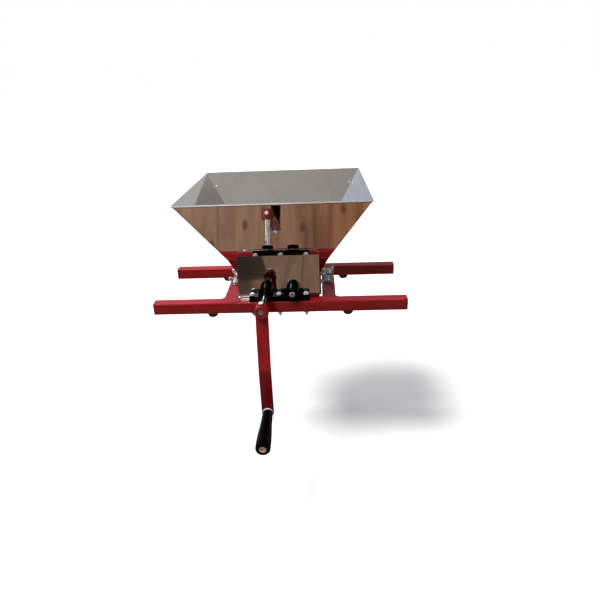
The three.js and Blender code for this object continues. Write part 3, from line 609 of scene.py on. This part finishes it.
def thread(radius, low, high, centre, along, pitch=1.0):
    """A screw's threaded end in millimetres, from low to high along its axis, with a chamfered tip."""
    across, beside, along = around(along)
    rows = round((high - low) / pitch * THREAD_ROWS)
    rings = []
    for row in range(rows + 1):
        height = low + (high - low) * row / rows
        limit = radius - max(0, TIP_CHAMFER - (high - height)) * TIP_SLOPE
        ring = []
        for i in range(THREAD_STEPS):
            turn = 2 * math.pi * i / THREAD_STEPS
            phase = (height / pitch - i / THREAD_STEPS) % 1
            reach = min(radius - THREAD_DEPTH * abs(2 * phase - 1), limit)
            out = math.cos(turn) * across + math.sin(turn) * beside
            ring.append((Vector(centre) + along * height + reach * out) * MM)
        rings.append(ring)
    ends = [[(Vector(centre) + along * height) * MM] for height in (low, high)]
    return lofted([ends[0], *rings, ends[1]])


def swept(points, radii, steps=12):
    """A round bead in millimetres along points, with a radius at each."""
    rings = []
    for i, point in enumerate(points):
        ahead = Vector(points[min(i + 1, len(points) - 1)]) - Vector(points[max(i - 1, 0)])
        level = Vector((0, 1, 0)).cross(ahead)
        across, beside, _ = around(ahead, level if abs(ahead.y) < 0.9 * ahead.length else None)
        turns = [2 * math.pi * k / steps for k in range(steps)]
        rings.append([(Vector(point) + radii[i] * (math.cos(t) * across + math.sin(t) * beside)) * MM
                      for t in turns])
    return lofted([[Vector(points[0]) * MM], *rings, [Vector(points[-1]) * MM]])


def merged(*shapes):
    """Several (vertices, faces) as one."""
    vertices, faces = [], []
    for some_vertices, some_faces in shapes:
        faces += [[i + len(vertices) for i in face] for face in some_faces]
        vertices += some_vertices
    return vertices, faces


def outward(shape):
    """The same shape with every closed part's faces turned outwards."""
    bm = bmesh.new()
    corners = [bm.verts.new(v) for v in shape[0]]
    for face in shape[1]:
        bm.faces.new([corners[i] for i in face])
    bmesh.ops.recalc_face_normals(bm, faces=bm.faces)
    return plain(bm)


def added(name, shapes, slot, body, smooth_angle):
    """A piece that no CAD node stands for, such as a weld bead."""
    piece = new_mesh_object(name, outward(merged(*shapes)), slot, smooth_angle)
    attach(piece, body)
    return piece


def remade(node, *shapes, smooth_angle=TURNED_ANGLE):
    """A node made again from finer shapes in the same place."""
    made_by_hand.add(node)
    return placed(node, outward(merged(*shapes)), smooth_angle)


UP = (0, 0, 1)
DOWN = (0, 0, -1)
FORWARDS = (0, -1, 0)
BACKWARDS = (0, 1, 0)
SHAFT_CHAMFER = 0.85


def make_shafts():
    narrow = SHAFT_RADIUS - SHAFT_CHAMFER
    for name, x in SHAFT_PLACE.items():
        front, rear = (corner.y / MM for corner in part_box(f"{name}_shaft"))
        length = rear - front
        profile = [[0, 0], [narrow, 0], [SHAFT_RADIUS, SHAFT_CHAMFER], [SHAFT_RADIUS, length - SHAFT_CHAMFER],
                   [narrow, length], [0, length]]
        remade(f"{name}_shaft", lathe(profile, (x, front, SHAFT_HEIGHT), BACKWARDS, 64))


# The M6 bolts and studs: their radius, and where the block bolts' threads start and end below the rail
BOLT_RADIUS = 3
BOLT_THREAD_START = 3
BOLT_THREAD_END = 10.9 - SEAT_GAP + 0.2


def make_block_bolts():
    for end, side in ENDS.items():
        for place, x in BOLT_PLACES.items():
            centre = (x, side * RAIL_MIDDLE, 0)
            seat = BOLT_SEAT
            head = [[0, seat], [5.7, seat], [5.95, seat + 0.25], [5.95, seat + 0.9], [5.6, seat + 1.25],
                    [4.7, seat + 1.5], [4.97, seat + 1.55, 9], [4.97, seat + 3.2, 9], [4.6, seat + 3.8, 9],
                    [4.2, seat + 4.05], [3.7, seat + 4.17], [2.5, seat + 4.19], [0, seat + 4.2]]
            shank = [[0, -4], [2.95, -4], [2.95, seat + 0.5], [0, seat + 0.5]]
            remade(f"{end}_{place}_block_bolt", lathe(head, centre, UP), lathe(shank, centre, UP, 24),
                   thread(BOLT_RADIUS, BOLT_THREAD_START, BOLT_THREAD_END, centre, DOWN))
            nut_seat = (centre[0], centre[1], -SEAT_GAP)
            remade(f"{end}_{place}_block_nut", nut_shape(nut_seat, DOWN, flats=10, height=5, bore=3.1))


def nut_shape(centre, along, flats, height, bore):
    """A hexagon nut with chamfered corners, from its seat outwards."""
    corner = flats / math.sqrt(3)
    circle = flats / 2 - 0.25
    profile = [[bore, 0.5], [bore + 0.5, 0], [circle, 0], [corner - 0.25, 0.4, flats], [corner, 0.85, flats],
               [corner, height - 0.85, flats], [corner - 0.25, height - 0.4, flats], [circle, height],
               [bore + 0.5, height], [bore, height - 0.5]]
    return lathe(profile, centre, along, loop=True)


def make_carriage_bolts():
    neck = RAIL_SIZE - 4 - SEAT_GAP
    head = neck - 3.3
    for side_name, side in SIDES.items():
        for end, y in STUD_Y.items():
            centre = (side * STUD_X, y, 0)
            dome = [[0, head], [2, head + 0.1], [3.8, head + 0.5], [5.2, head + 1.2], [6.1, head + 2.1],
                    [6.5, head + 3.0], [6.4, neck], [3, neck], [3, WING_SEAT], [0, WING_SEAT]]
            remade(f"{side_name}_{end}_carriage_bolt", lathe(dome, centre, UP),
                   thread(BOLT_RADIUS, WING_SEAT - 1, STUD_TOP, centre, UP))


# A wing's side view in shares of its size: where it starts, and each curve's handle and end
WING_SIZE = 15
WING_START = (0.24, 0.12)
WING_CURVES = [((0.62, 0.14), (0.86, 0.38)), ((1, 0.55), (1, 0.8)), ((0.97, 1), (0.78, 1)),
               ((0.5, 0.94), (0.24, 0.5))]
CURVE_STEPS = 8
WEB_HALF = 0.9
WEB_SHARE = 0.85
RIM_BEAD = 1.5
RIM_SWELL = 0.5
WING_VOXEL = 0.38
WING_BORE = 3.3
WING_HUB = [[WING_BORE, 0], [6.1, 0], [6.5, 0.5], [6.35, 2.2], [5.5, 6.8], [4.9, WING_HUB_HEIGHT],
            [WING_BORE, WING_HUB_HEIGHT]]


def wing_outline():
    """One wing's side view in millimetres, from the hub outwards and back along quadratic curves."""
    def at(share):
        return Vector((share[0] * WING_SIZE, share[1] * WING_SIZE))
    points = [at(WING_START)]
    for handle, end in WING_CURVES:
        first, handle, last = points[-1].copy(), at(handle), at(end)
        for i in range(1, CURVE_STEPS + 1):
            t = i / CURVE_STEPS
            points.append((1 - t) ** 2 * first + 2 * t * (1 - t) * handle + t * t * last)
    return points


def wing_shapes(seat, angle):
    """One wing at its angle about the hub: a thin web with a round bead along its rim."""
    outline = wing_outline()
    turn = Matrix.Rotation(math.radians(angle), 3, "Z")
    middle = sum(outline, Vector((0, 0))) / len(outline)

    def upright(point, shift):
        return turn @ Vector((point.x, shift, point.y)) + seat

    web = [middle + (point - middle) * WEB_SHARE for point in outline]
    rings = [[upright(point, shift) * MM for point in web] for shift in (-WEB_HALF, WEB_HALF)]
    bead = [point + (middle - point).normalized() * RIM_BEAD for point in outline]
    last = len(bead) - 1
    radii = [RIM_BEAD + RIM_SWELL * math.sin(math.pi * i / last) for i in range(len(bead))]
    return [capped(rings), swept([upright(point, 0) for point in bead], radii)]


def make_wing_nuts():
    for place, angle in WING_ANGLES.items():
        side_name, end = place.split("_")
        seat = Vector((SIDES[side_name] * STUD_X, STUD_Y[end], WING_SEAT))
        hub = lathe(WING_HUB, seat, UP, 40, loop=True)
        wings = [*wing_shapes(seat, angle), *wing_shapes(seat, angle + 180)]
        nut = remade(f"{place}_wing_nut", hub, *wings, smooth_angle=SMOOTH_ANGLE)
        cast = nut.modifiers.new("cast_in_one", "REMESH")
        cast.mode = "VOXEL"
        cast.voxel_size = WING_VOXEL * MM
        cast.use_smooth_shade = True
        soft = nut.modifiers.new("rumbled_edges", "SMOOTH")
        soft.factor = 0.5
        soft.iterations = 4


def make_feet():
    for end, y_side in ENDS.items():
        for side_name, side in SIDES.items():
            centre = (side * FOOT_X, y_side * RAIL_MIDDLE, -SEAT_GAP)
            angles = [math.radians(degrees) for degrees in range(0, 91, 10)]
            bulge = [[5 + 6 * math.sin(angle), -2 - 8 * math.cos(angle)] for angle in angles]
            profile = [[0, -10], [4, -10], *bulge, [11, -0.5], [10.7, 0], [3.7, 0], [3.7, 4.8],
                       [2.7, 6.8], [0, 6.8]]
            remade(f"{end}_{side_name}_foot", lathe(profile, centre, UP), smooth_angle=SMOOTH_ANGLE)


def make_grip():
    bore, back, waist, belly, rim = 4.3, 10.5, 11.0, 14.6, 6.0
    start, end = GRIP_START, GRIP_END
    profile = [[bore, start], [back - 1, start], [back - 0.3, start + 0.3], [back, start + 1]]
    low, high = start + 0.12 * GRIP_LENGTH, start + 0.86 * GRIP_LENGTH
    for i in range(25):
        share = i / 24
        swell = share * share * (3 - 2 * share)
        profile.append([waist + (belly - waist) * swell, low + (high - low) * share])
    for i in range(13):
        angle = math.radians(90 * i / 12)
        profile.append([belly - rim + rim * math.cos(angle), end - rim + rim * math.sin(angle)])
    profile += [[8.4, end], [8.2, end - 0.3], [8.2, end - GRIP_RECESS], [bore, end - GRIP_RECESS]]
    remade("grip", lathe(profile, GRIP_CENTRE, FORWARDS, 72, loop=True), smooth_angle=GRIP_ANGLE)


def make_grip_hardware():
    outer, bore = 10.8, 4.15
    washer = [[bore, 0.3], [outer - 0.4, 0.3], [outer, 0.7], [outer, 2.1], [outer - 0.4, 2.5], [bore, 2.5]]
    remade("grip_washer", lathe(washer, GRIP_CENTRE, FORWARDS, 60, loop=True))
    seat = GRIP_END - GRIP_RECESS + SEAT_GAP
    top = seat + 4
    tail = -ARM_THICKNESS - SEAT_GAP - 6.5
    screw = [[0, tail + 1], [3.9, tail + 1], [3.9, 0], [4, 0.5], [4, seat], [7.1, seat], [7.3, seat + 0.3],
             [7.3, top - 0.7], [6.7, top], [4.0, top], [3.6, top - 0.35, 6.2], [3.47, top - 0.6, 6],
             [3.47, top - 2.6, 6], [0, top - 2.8]]
    remade("grip_spindle", lathe(screw, GRIP_CENTRE, FORWARDS, 60, across=(1, 0, 0)),
           thread(4, 5, -tail + 1.5, GRIP_CENTRE, BACKWARDS, pitch=1.25))
    seat_behind = (GRIP_CENTRE[0], ARM_FRONT + ARM_THICKNESS + SEAT_GAP, GRIP_CENTRE[2])
    remade("grip_spindle_nut", nut_shape(seat_behind, BACKWARDS, flats=13, height=6.5, bore=4.1))


def make_set_screw():
    centre = (SHAFT_PLACE["drive"], HUB_MIDDLE, SHAFT_HEIGHT)
    seat = HUB_RADIUS + 1
    top = seat + 3.6
    tip = SHAFT_RADIUS + SEAT_GAP
    profile = [[0, tip], [2.3, tip], [2.5, SHAFT_RADIUS + 1], [2.5, seat], [3.7, seat], [4.3, seat + 0.3, 8],
               [4.62, seat + 0.6, 8], [4.62, top - 1.1, 8], [4.2, top - 0.6, 8], [3.4, top - 0.15],
               [2.6, top], [0, top]]
    remade("crank_set_screw", lathe(profile, centre, UP))


# Weld beads under the crank's hub: each one's place along the shaft and radius, and the arc in degrees
CRANK_BEADS = ((-194.6, 1.7), (-188.4, 1.6))
BEAD_START, BEAD_ARC, BEAD_STEPS = 196, 148, 60
BEAD_REACH = HUB_RADIUS + 0.5
# Ground seams along the cross plates' ends
SEAM_X, SEAM_Y, SEAM_HEIGHT = 103.75, 88.85, RAIL_SIZE - 0.75
SEAM_LENGTH, SEAM_STEPS = 37, 40


def make_welds():
    """Beads where the crank's bar meets its hub, and ground seams where the plates meet the rails."""
    beads = []
    for y, radius in CRANK_BEADS:
        points, radii = [], []
        for i in range(BEAD_STEPS + 1):
            turn = math.radians(BEAD_START + BEAD_ARC * i / BEAD_STEPS)
            x, z = BEAD_REACH * math.cos(turn), BEAD_REACH * math.sin(turn)
            points.append((SHAFT_PLACE["drive"] + x, y, SHAFT_HEIGHT + z))
            radii.append(radius + 0.22 * math.sin(i * 1.6))
        beads.append(swept(points, radii))
    added("crank_weld_beads", beads, "red_paint", "drive_train", WELD_ANGLE)
    seams = []
    for side in SIDES.values():
        for end in ENDS.values():
            start = side * SEAM_X - SEAM_LENGTH / 2
            steps = range(SEAM_STEPS + 1)
            points = [(start + SEAM_LENGTH * i / SEAM_STEPS, end * SEAM_Y, SEAM_HEIGHT) for i in steps]
            seams.append(swept(points, [1.0 + 0.06 * math.sin(i * 2.1) for i in steps], 10))
    added("rail_weld_seams", seams, "red_paint", "frame", WELD_ANGLE)


# Hopper in millimetres: half its mouth's width, its rear rim and top, its sheet and its walls' slopes
MOUTH_X, MOUTH_REAR, MOUTH_TOP = 185, 187, 241
SHEET = 1.2
WALL_SLOPE_X, WALL_SLOPE_Y = 0.5988, 0.556
HEM_WIDTH = 2.0
HEM_BOTTOM, HEM_OUTSIDE = 240.5, 185.5
# A corner tab: how far down it is, its outline along and across the seam, and its layers' heights and insets
TAB_DEPTH = 31
TAB_OUTLINE = [(-5, 0.4), (-4.4, 5), (-3.4, 6), (3.4, 6), (4.4, 5), (5, 0.4)]
TAB_LAYERS = ((-0.2, 0), (0.4, 0), (0.55, 0.2))
RIVET_DOME = [[0, -0.3], [1.9, -0.3], [1.8, 0.1], [1.3, 0.5], [0.7, 0.7], [0, 0.75]]
RIVET_ASIDE = 3.4


def hem_share(a, b):
    """The share of HEM_WIDTH for an edge from a to b: full round the side hems, slight elsewhere."""
    on_top = min(a.z, b.z) > HEM_BOTTOM * MM
    on_outside = min(abs(a.x), abs(b.x)) > HEM_OUTSIDE * MM
    return 1.0 if on_top and on_outside else 0.12 if on_top else 0.2


def make_hopper():
    """The CAD hopper with its hem rolled round, and a riveted tab in each rear corner."""
    rounded_by_edge("hopper", HEM_WIDTH * MM, 5, hem_share)
    tabs, rivets = [], []
    for side in SIDES.values():
        wall = MOUTH_REAR - SHEET - WALL_SLOPE_Y * TAB_DEPTH
        seam = side * (MOUTH_X - SHEET - WALL_SLOPE_X * TAB_DEPTH)
        inwards = Vector((0, -1, WALL_SLOPE_Y)).normalized()
        down = Vector((-side * WALL_SLOPE_X, -WALL_SLOPE_Y, -1)).normalized()
        beside = inwards.cross(down)
        if beside.x * side > 0:
            beside = -beside
        corner = Vector((seam, wall, MOUTH_TOP - TAB_DEPTH))
        rings = []
        for height, inset in TAB_LAYERS:
            rings.append([(corner + down * u * (1 - inset / 5) + beside * (v - inset * (v > 1))
                           + inwards * height) * MM for u, v in TAB_OUTLINE])
        tabs.append(capped(rings))
        rivet = corner + beside * RIVET_ASIDE
        rivets.append(lathe(RIVET_DOME, rivet + inwards * TAB_LAYERS[-1][0], inwards, 24))
        rivets.append(lathe(RIVET_DOME, rivet - inwards * SHEET, -inwards, 24))
    added("hopper_corner_tabs", tabs, "gear_steel", "frame", TAB_ANGLE)
    added("hopper_corner_rivets", rivets, "zinc", "frame", TAB_ANGLE)


RAIL_CORNER = 1.9
CAP_CORNER = 1.7
CAP_FLANGE = 2.1
LONG_EDGE = 50
CORNER_SEGMENTS = 4


def make_rails():
    """Drawn tube has round corners along it and a sawn end; its cap is domed outside and flat inside."""
    def rail_share(a, b):
        return 1.0 if abs(a.x - b.x) > LONG_EDGE * MM else 0.12

    for end in ENDS:
        rounded_by_edge(f"{end}_rail", RAIL_CORNER * MM, CORNER_SEGMENTS, rail_share)
        for side in SIDES:
            node = f"{end}_{side}_end_cap"
            face = max(abs(corner.x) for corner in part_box(node))
            flange = face - CAP_FLANGE * MM

            def cap_share(a, b):
                inner, outer = sorted((abs(a.x), abs(b.x)))
                return 1.0 if outer > face - 0.2 * MM and inner > flange else 0.1

            rounded_by_edge(node, CAP_CORNER * MM, CORNER_SEGMENTS, cap_share)


make_shafts()
make_rails()
make_block_bolts()
make_carriage_bolts()
make_wing_nuts()
make_feet()
make_grip()
make_grip_hardware()
make_set_screw()
make_welds()
make_hopper()

# Every other CAD node keeps its shape: how wide its edges are rounded, and from which angle where not 30
EDGE_WIDTHS = {
    "cross_plate": 0.5, "splash_guard": 0.35, "throat_plate": 0.3,
    "bearing_block": 0.7, "roller": 0.6, "pin": 0.2, "gear": 0.3, "grub_screw": 0.2, "crank_arm": 0.7,
}
SOFT_ANGLES = {"splash_guard": SHARP_ANGLE}


def dress_the_rest():
    for node in NODE_BODY:
        if node in made_by_hand:
            continue
        kind = max((k for k in EDGE_WIDTHS if node.endswith(k)), key=len)
        dressed(node, EDGE_WIDTHS[kind] * MM, angle=SOFT_ANGLES.get(node, ROUNDED_ANGLE))


dress_the_rest()

# Stage: a pale floor well below the rails, since the crank swings down under them
FLOOR_HEIGHT = -0.385
FLOOR_REACH = 60
BOARDS_REACH = 8


def floor_material():
    s = Shader("pale_floor", Roughness=0.9, Specular_IOR_Level=0.1)
    s.join("Base Color", s.blended(s.noise(3, detail=2), (0.735, 0.735, 0.73), (0.75, 0.75, 0.745)))
    return s.material


def add_flat(name, half, height, material):
    mesh = bpy.data.meshes.new(name)
    corners = [(-half, -half, height), (half, -half, height), (half, half, height), (-half, half, height)]
    mesh.from_pydata(corners, [], [[0, 1, 2, 3]])
    mesh.materials.append(material)
    flat = bpy.data.objects.new(name, mesh)
    bpy.context.scene.collection.objects.link(flat)
    return flat


# Boards: places in metres, along X across them and along Y away from the camera
BOARD_WIDTH = 0.15
BOARD_START = -0.078
BOARD_LENGTH = 9.0
BOARD_END = 2.61
BOARD_GAP = 0.0012
FIBRES = (0.3, 0.7)
RIGHT_BOARDS = (-0.06, 0.12)
FRONT_BOARDS = (-0.5, -0.75)
FRONT_SEAMS = (-0.088, -0.006)
SEAM_REACH = 0.0045
BEHIND = (0.8, 1.4)
BEHIND_TONE = (0.355, 0.37, 0.405)
# Painted shadows on the ground in front: limits past a slanting line, limits in Y, its share and its tone
SLANT = -0.17
SLANT_START = 1.6
GROUND_SHADOWS = (
    ((-0.25, -0.29), (-1.15, -1.3), 0.8, (0.075, 0.052, 0.04)),
    ((-0.186, -0.194), (-1.49, -1.53), 0.93, (0.042, 0.036, 0.031)),
)


def board_material():
    """Timber under the machine, with painted shadows on it towards the camera, and a cool grey behind it."""
    s = Shader("warm_boards", Roughness=0.8, Specular_IOR_Level=0.0)
    place = s.place()
    across, away = place["X"], place["Y"]
    grain = s.noise(1, detail=6, roughness=0.6, vector=s.stretched((22, 2.2, 1)), distortion=0.5)
    fibres = s.share(grain, FIBRES)
    wood = s.blended(fibres, (0.17, 0.095, 0.065), (0.37, 0.222, 0.16))
    right = s.blended(fibres, (0.16, 0.068, 0.038), (0.37, 0.175, 0.1))
    wood = s.blended(s.share(across, RIGHT_BOARDS), wood, right)
    moved = s.add("ShaderNodeMapping", {"Vector": s.coordinates, "Location": (-BOARD_START, BOARD_END, 0)})
    turned_round = s.add("ShaderNodeMapping", {"Vector": moved, "Rotation": (0, 0, math.pi / 2)})
    board = s.add("ShaderNodeTexBrick", {
        "Vector": turned_round, "Scale": 1.0, "Brick Width": BOARD_LENGTH, "Row Height": BOARD_WIDTH,
        "Color1": (0.78, 0.78, 0.78, 1), "Color2": (1.05, 1.05, 1.05, 1), "Mortar": (0.3, 0.3, 0.3, 1),
        "Mortar Size": BOARD_GAP, "Mortar Smooth": 0.4}, output="Color")
    knots = s.add("ShaderNodeTexVoronoi", {"Vector": s.stretched((17, 9, 1)), "Scale": 1.0})
    ragged = s.total(knots, s.multiply(s.noise(30, detail=3), 0.16))
    wood = s.blended(s.spread(ragged, 0.17, 0.29, 0.75, 0), wood, (0.08, 0.035, 0.02))
    tone = s.blended(1, wood, board, mode="MULTIPLY")
    front = s.blended(fibres, (0.265, 0.15, 0.105), (0.4, 0.255, 0.19))
    for seam in FRONT_SEAMS:
        line = s.add("ShaderNodeMath", {0: across, 1: seam, 2: SEAM_REACH}, operation="COMPARE")
        front = s.blended(s.multiply(line, 0.6), front, (0.1, 0.06, 0.045))
    tone = s.blended(s.share(away, FRONT_BOARDS), tone, front)
    past_slant = s.total(across, s.multiply(s.total(away, SLANT_START), SLANT))
    # Painted shadows on the ground in front
    for slant_limits, away_limits, share, dark in GROUND_SHADOWS:
        ground = s.multiply(s.share(past_slant, slant_limits), s.share(away, away_limits))
        tone = s.blended(s.multiply(ground, share), tone, dark)
    s.join("Base Color", s.blended(s.share(away, BEHIND), tone, BEHIND_TONE))
    return s.material


pale_floor = add_flat("pale_floor", FLOOR_REACH, FLOOR_HEIGHT, floor_material())
# The floor only carries the shadow: the light that it would throw back up is left to the surround
pale_floor.visible_diffuse = False
boards = add_flat("warm_boards", BOARDS_REACH, FLOOR_HEIGHT + MM, board_material())
# Only glossy surfaces see the boards
boards.visible_camera = False
boards.visible_diffuse = False
boards.visible_shadow = False
boards.visible_transmission = False

# Light: a broad soft sun from above, two strips, four lamps and an even pale surround
SUN_POWER = 4.4
SUN_ANGLE = math.radians(20)
SUN_TURN = (math.radians(12), math.radians(-25), 0)


def add_lamp(name, kind, power):
    light = bpy.data.lights.new(name, kind)
    light.energy = power
    lamp = bpy.data.objects.new(name, light)
    bpy.context.scene.collection.objects.link(lamp)
    return lamp


def add_sun():
    lamp = add_lamp("soft_sun", "SUN", SUN_POWER)
    lamp.data.angle = SUN_ANGLE
    # Polished surfaces mirror the surround and the strips, and not this broad disc
    lamp.visible_glossy = False
    lamp.rotation_euler = SUN_TURN


# Each strip's or lamp's place, width and height, power in watts and the point that it faces
STRIPS = {
    "left_strip": ((-0.75, 0.3, 2.0), (0.22, 0.7), 5, (0, 0, 0)),
    "right_strip": ((0.75, 0.3, 2.0), (0.22, 0.7), 5, (0, 0, 0)),
    "front_lamp": ((-0.43, -2.8, 1.55), (0.28, 0.3), 3.4, (0, -0.1, 0.04)),
    "near_lamp": ((-0.215, -1.05, 0.45), (0.06, 0.1), 1.3, (-0.07, -0.1, 0.03)),
    "left_lamp": ((-2.2, -0.9, 0.8), (0.6, 0.6), 9, (0, 0, 0)),
    "right_lamp": ((2.2, -0.6, 0.7), (0.6, 0.6), 3, (0, 0, 0)),
}
HIGHLIGHT_LAMPS = ("front_lamp", "near_lamp")


def add_strips():
    """Two strips overhead, a lamp at each side, and two in front that diffuse surfaces don't see."""
    for name, (place, size, power, target) in STRIPS.items():
        lamp = add_lamp(name, "AREA", power)
        lamp.data.shape = "RECTANGLE"
        lamp.data.size, lamp.data.size_y = size
        lamp.location = place
        lamp.rotation_euler = (Vector(target) - Vector(place)).to_track_quat("-Z", "Y").to_euler()
        lamp.visible_diffuse = name not in HIGHLIGHT_LAMPS


# Surround: stops of (place, level), from 0, straight down, through 0.5, the horizon, to 1, straight up
FRONT_STOPS = [(0.0, 0.1), (0.48, 0.1), (0.51, 0.06), (0.66, 0.08), (0.76, 0.14), (0.82, 0.38), (0.87, 0.42),
               (0.93, 0.42), (0.97, 1.2), (1.0, 1.6)]
REAR_STOPS = [(0.0, 0.3), (0.48, 0.3), (0.51, 0.85), (0.57, 0.88), (0.62, 0.4), (0.672, 0.24), (0.705, 0.6),
              (0.78, 0.74), (0.86, 0.76), (0.96, 1.1), (1.0, 1.6)]
TINT_CHANGE = 0.6
FRONT_TINT = (1, 0.955, 0.89)
REAR_LOW_TINT = (1.0, 0.975, 0.94)
REAR_HIGH_TINT = (0.93, 0.97, 1.08)
RIGHT_LIMITS = (-0.15, 0.12)
RIGHT_LEVEL = 0.6
REAR_LIMITS = (-0.35, 0.35)
WINDOW_DIRECTION = Vector((-0.27, -0.44, 0.86)).normalized()
WINDOW_LIMITS = (0.972, 0.99)
WINDOW_TONE = (0.75, 0.82, 0.95)
WHITE = (1, 1, 1)


def add_surround():
    """White to the camera; to the light paths, a room that is dim in front and bright behind."""
    world = bpy.data.worlds.new("pale_surround")
    bpy.context.scene.world = world
    world.use_nodes = True
    w = Nodes(world.node_tree)
    direction = w.add("ShaderNodeTexCoord", {}, output="Generated")
    ahead = w.parts(direction)
    height = w.add("ShaderNodeMath", {0: ahead["Z"], 1: 0.5, 2: 0.5}, operation="MULTIPLY_ADD")
    front = w.coloured(height, FRONT_STOPS, FRONT_TINT, FRONT_TINT)
    rear = w.coloured(height, REAR_STOPS, REAR_LOW_TINT, REAR_HIGH_TINT)
    # The room dims to the right, the rear more than the front
    rear_level = w.spread(ahead["X"], *RIGHT_LIMITS, 1, RIGHT_LEVEL)
    front_level = w.add("ShaderNodeMath", {0: rear_level, 1: 0.38, 2: 0.68}, operation="MULTIPLY_ADD")
    front, rear = w.scaled(front, front_level), w.scaled(rear, rear_level)
    room = w.blended(w.share(ahead["Y"], REAR_LIMITS), front, rear)
    towards_window = w.add("ShaderNodeVectorMath", {0: direction, 1: WINDOW_DIRECTION},
                           output="Value", operation="DOT_PRODUCT")
    low, high = WINDOW_LIMITS
    glow = w.add("ShaderNodeMapRange", {"Value": towards_window, "From Min": low, "From Max": high},
                 interpolation_type="SMOOTHSTEP")
    lit = w.blended(glow, room, WINDOW_TONE)
    seen = w.add("ShaderNodeLightPath", {}, output="Is Camera Ray")
    w.tree.links.new(w.blended(seen, lit, WHITE), w.tree.nodes["Background"].inputs["Color"])


add_sun()
add_strips()
add_surround()
bpy.context.scene.view_settings.view_transform = "Standard"
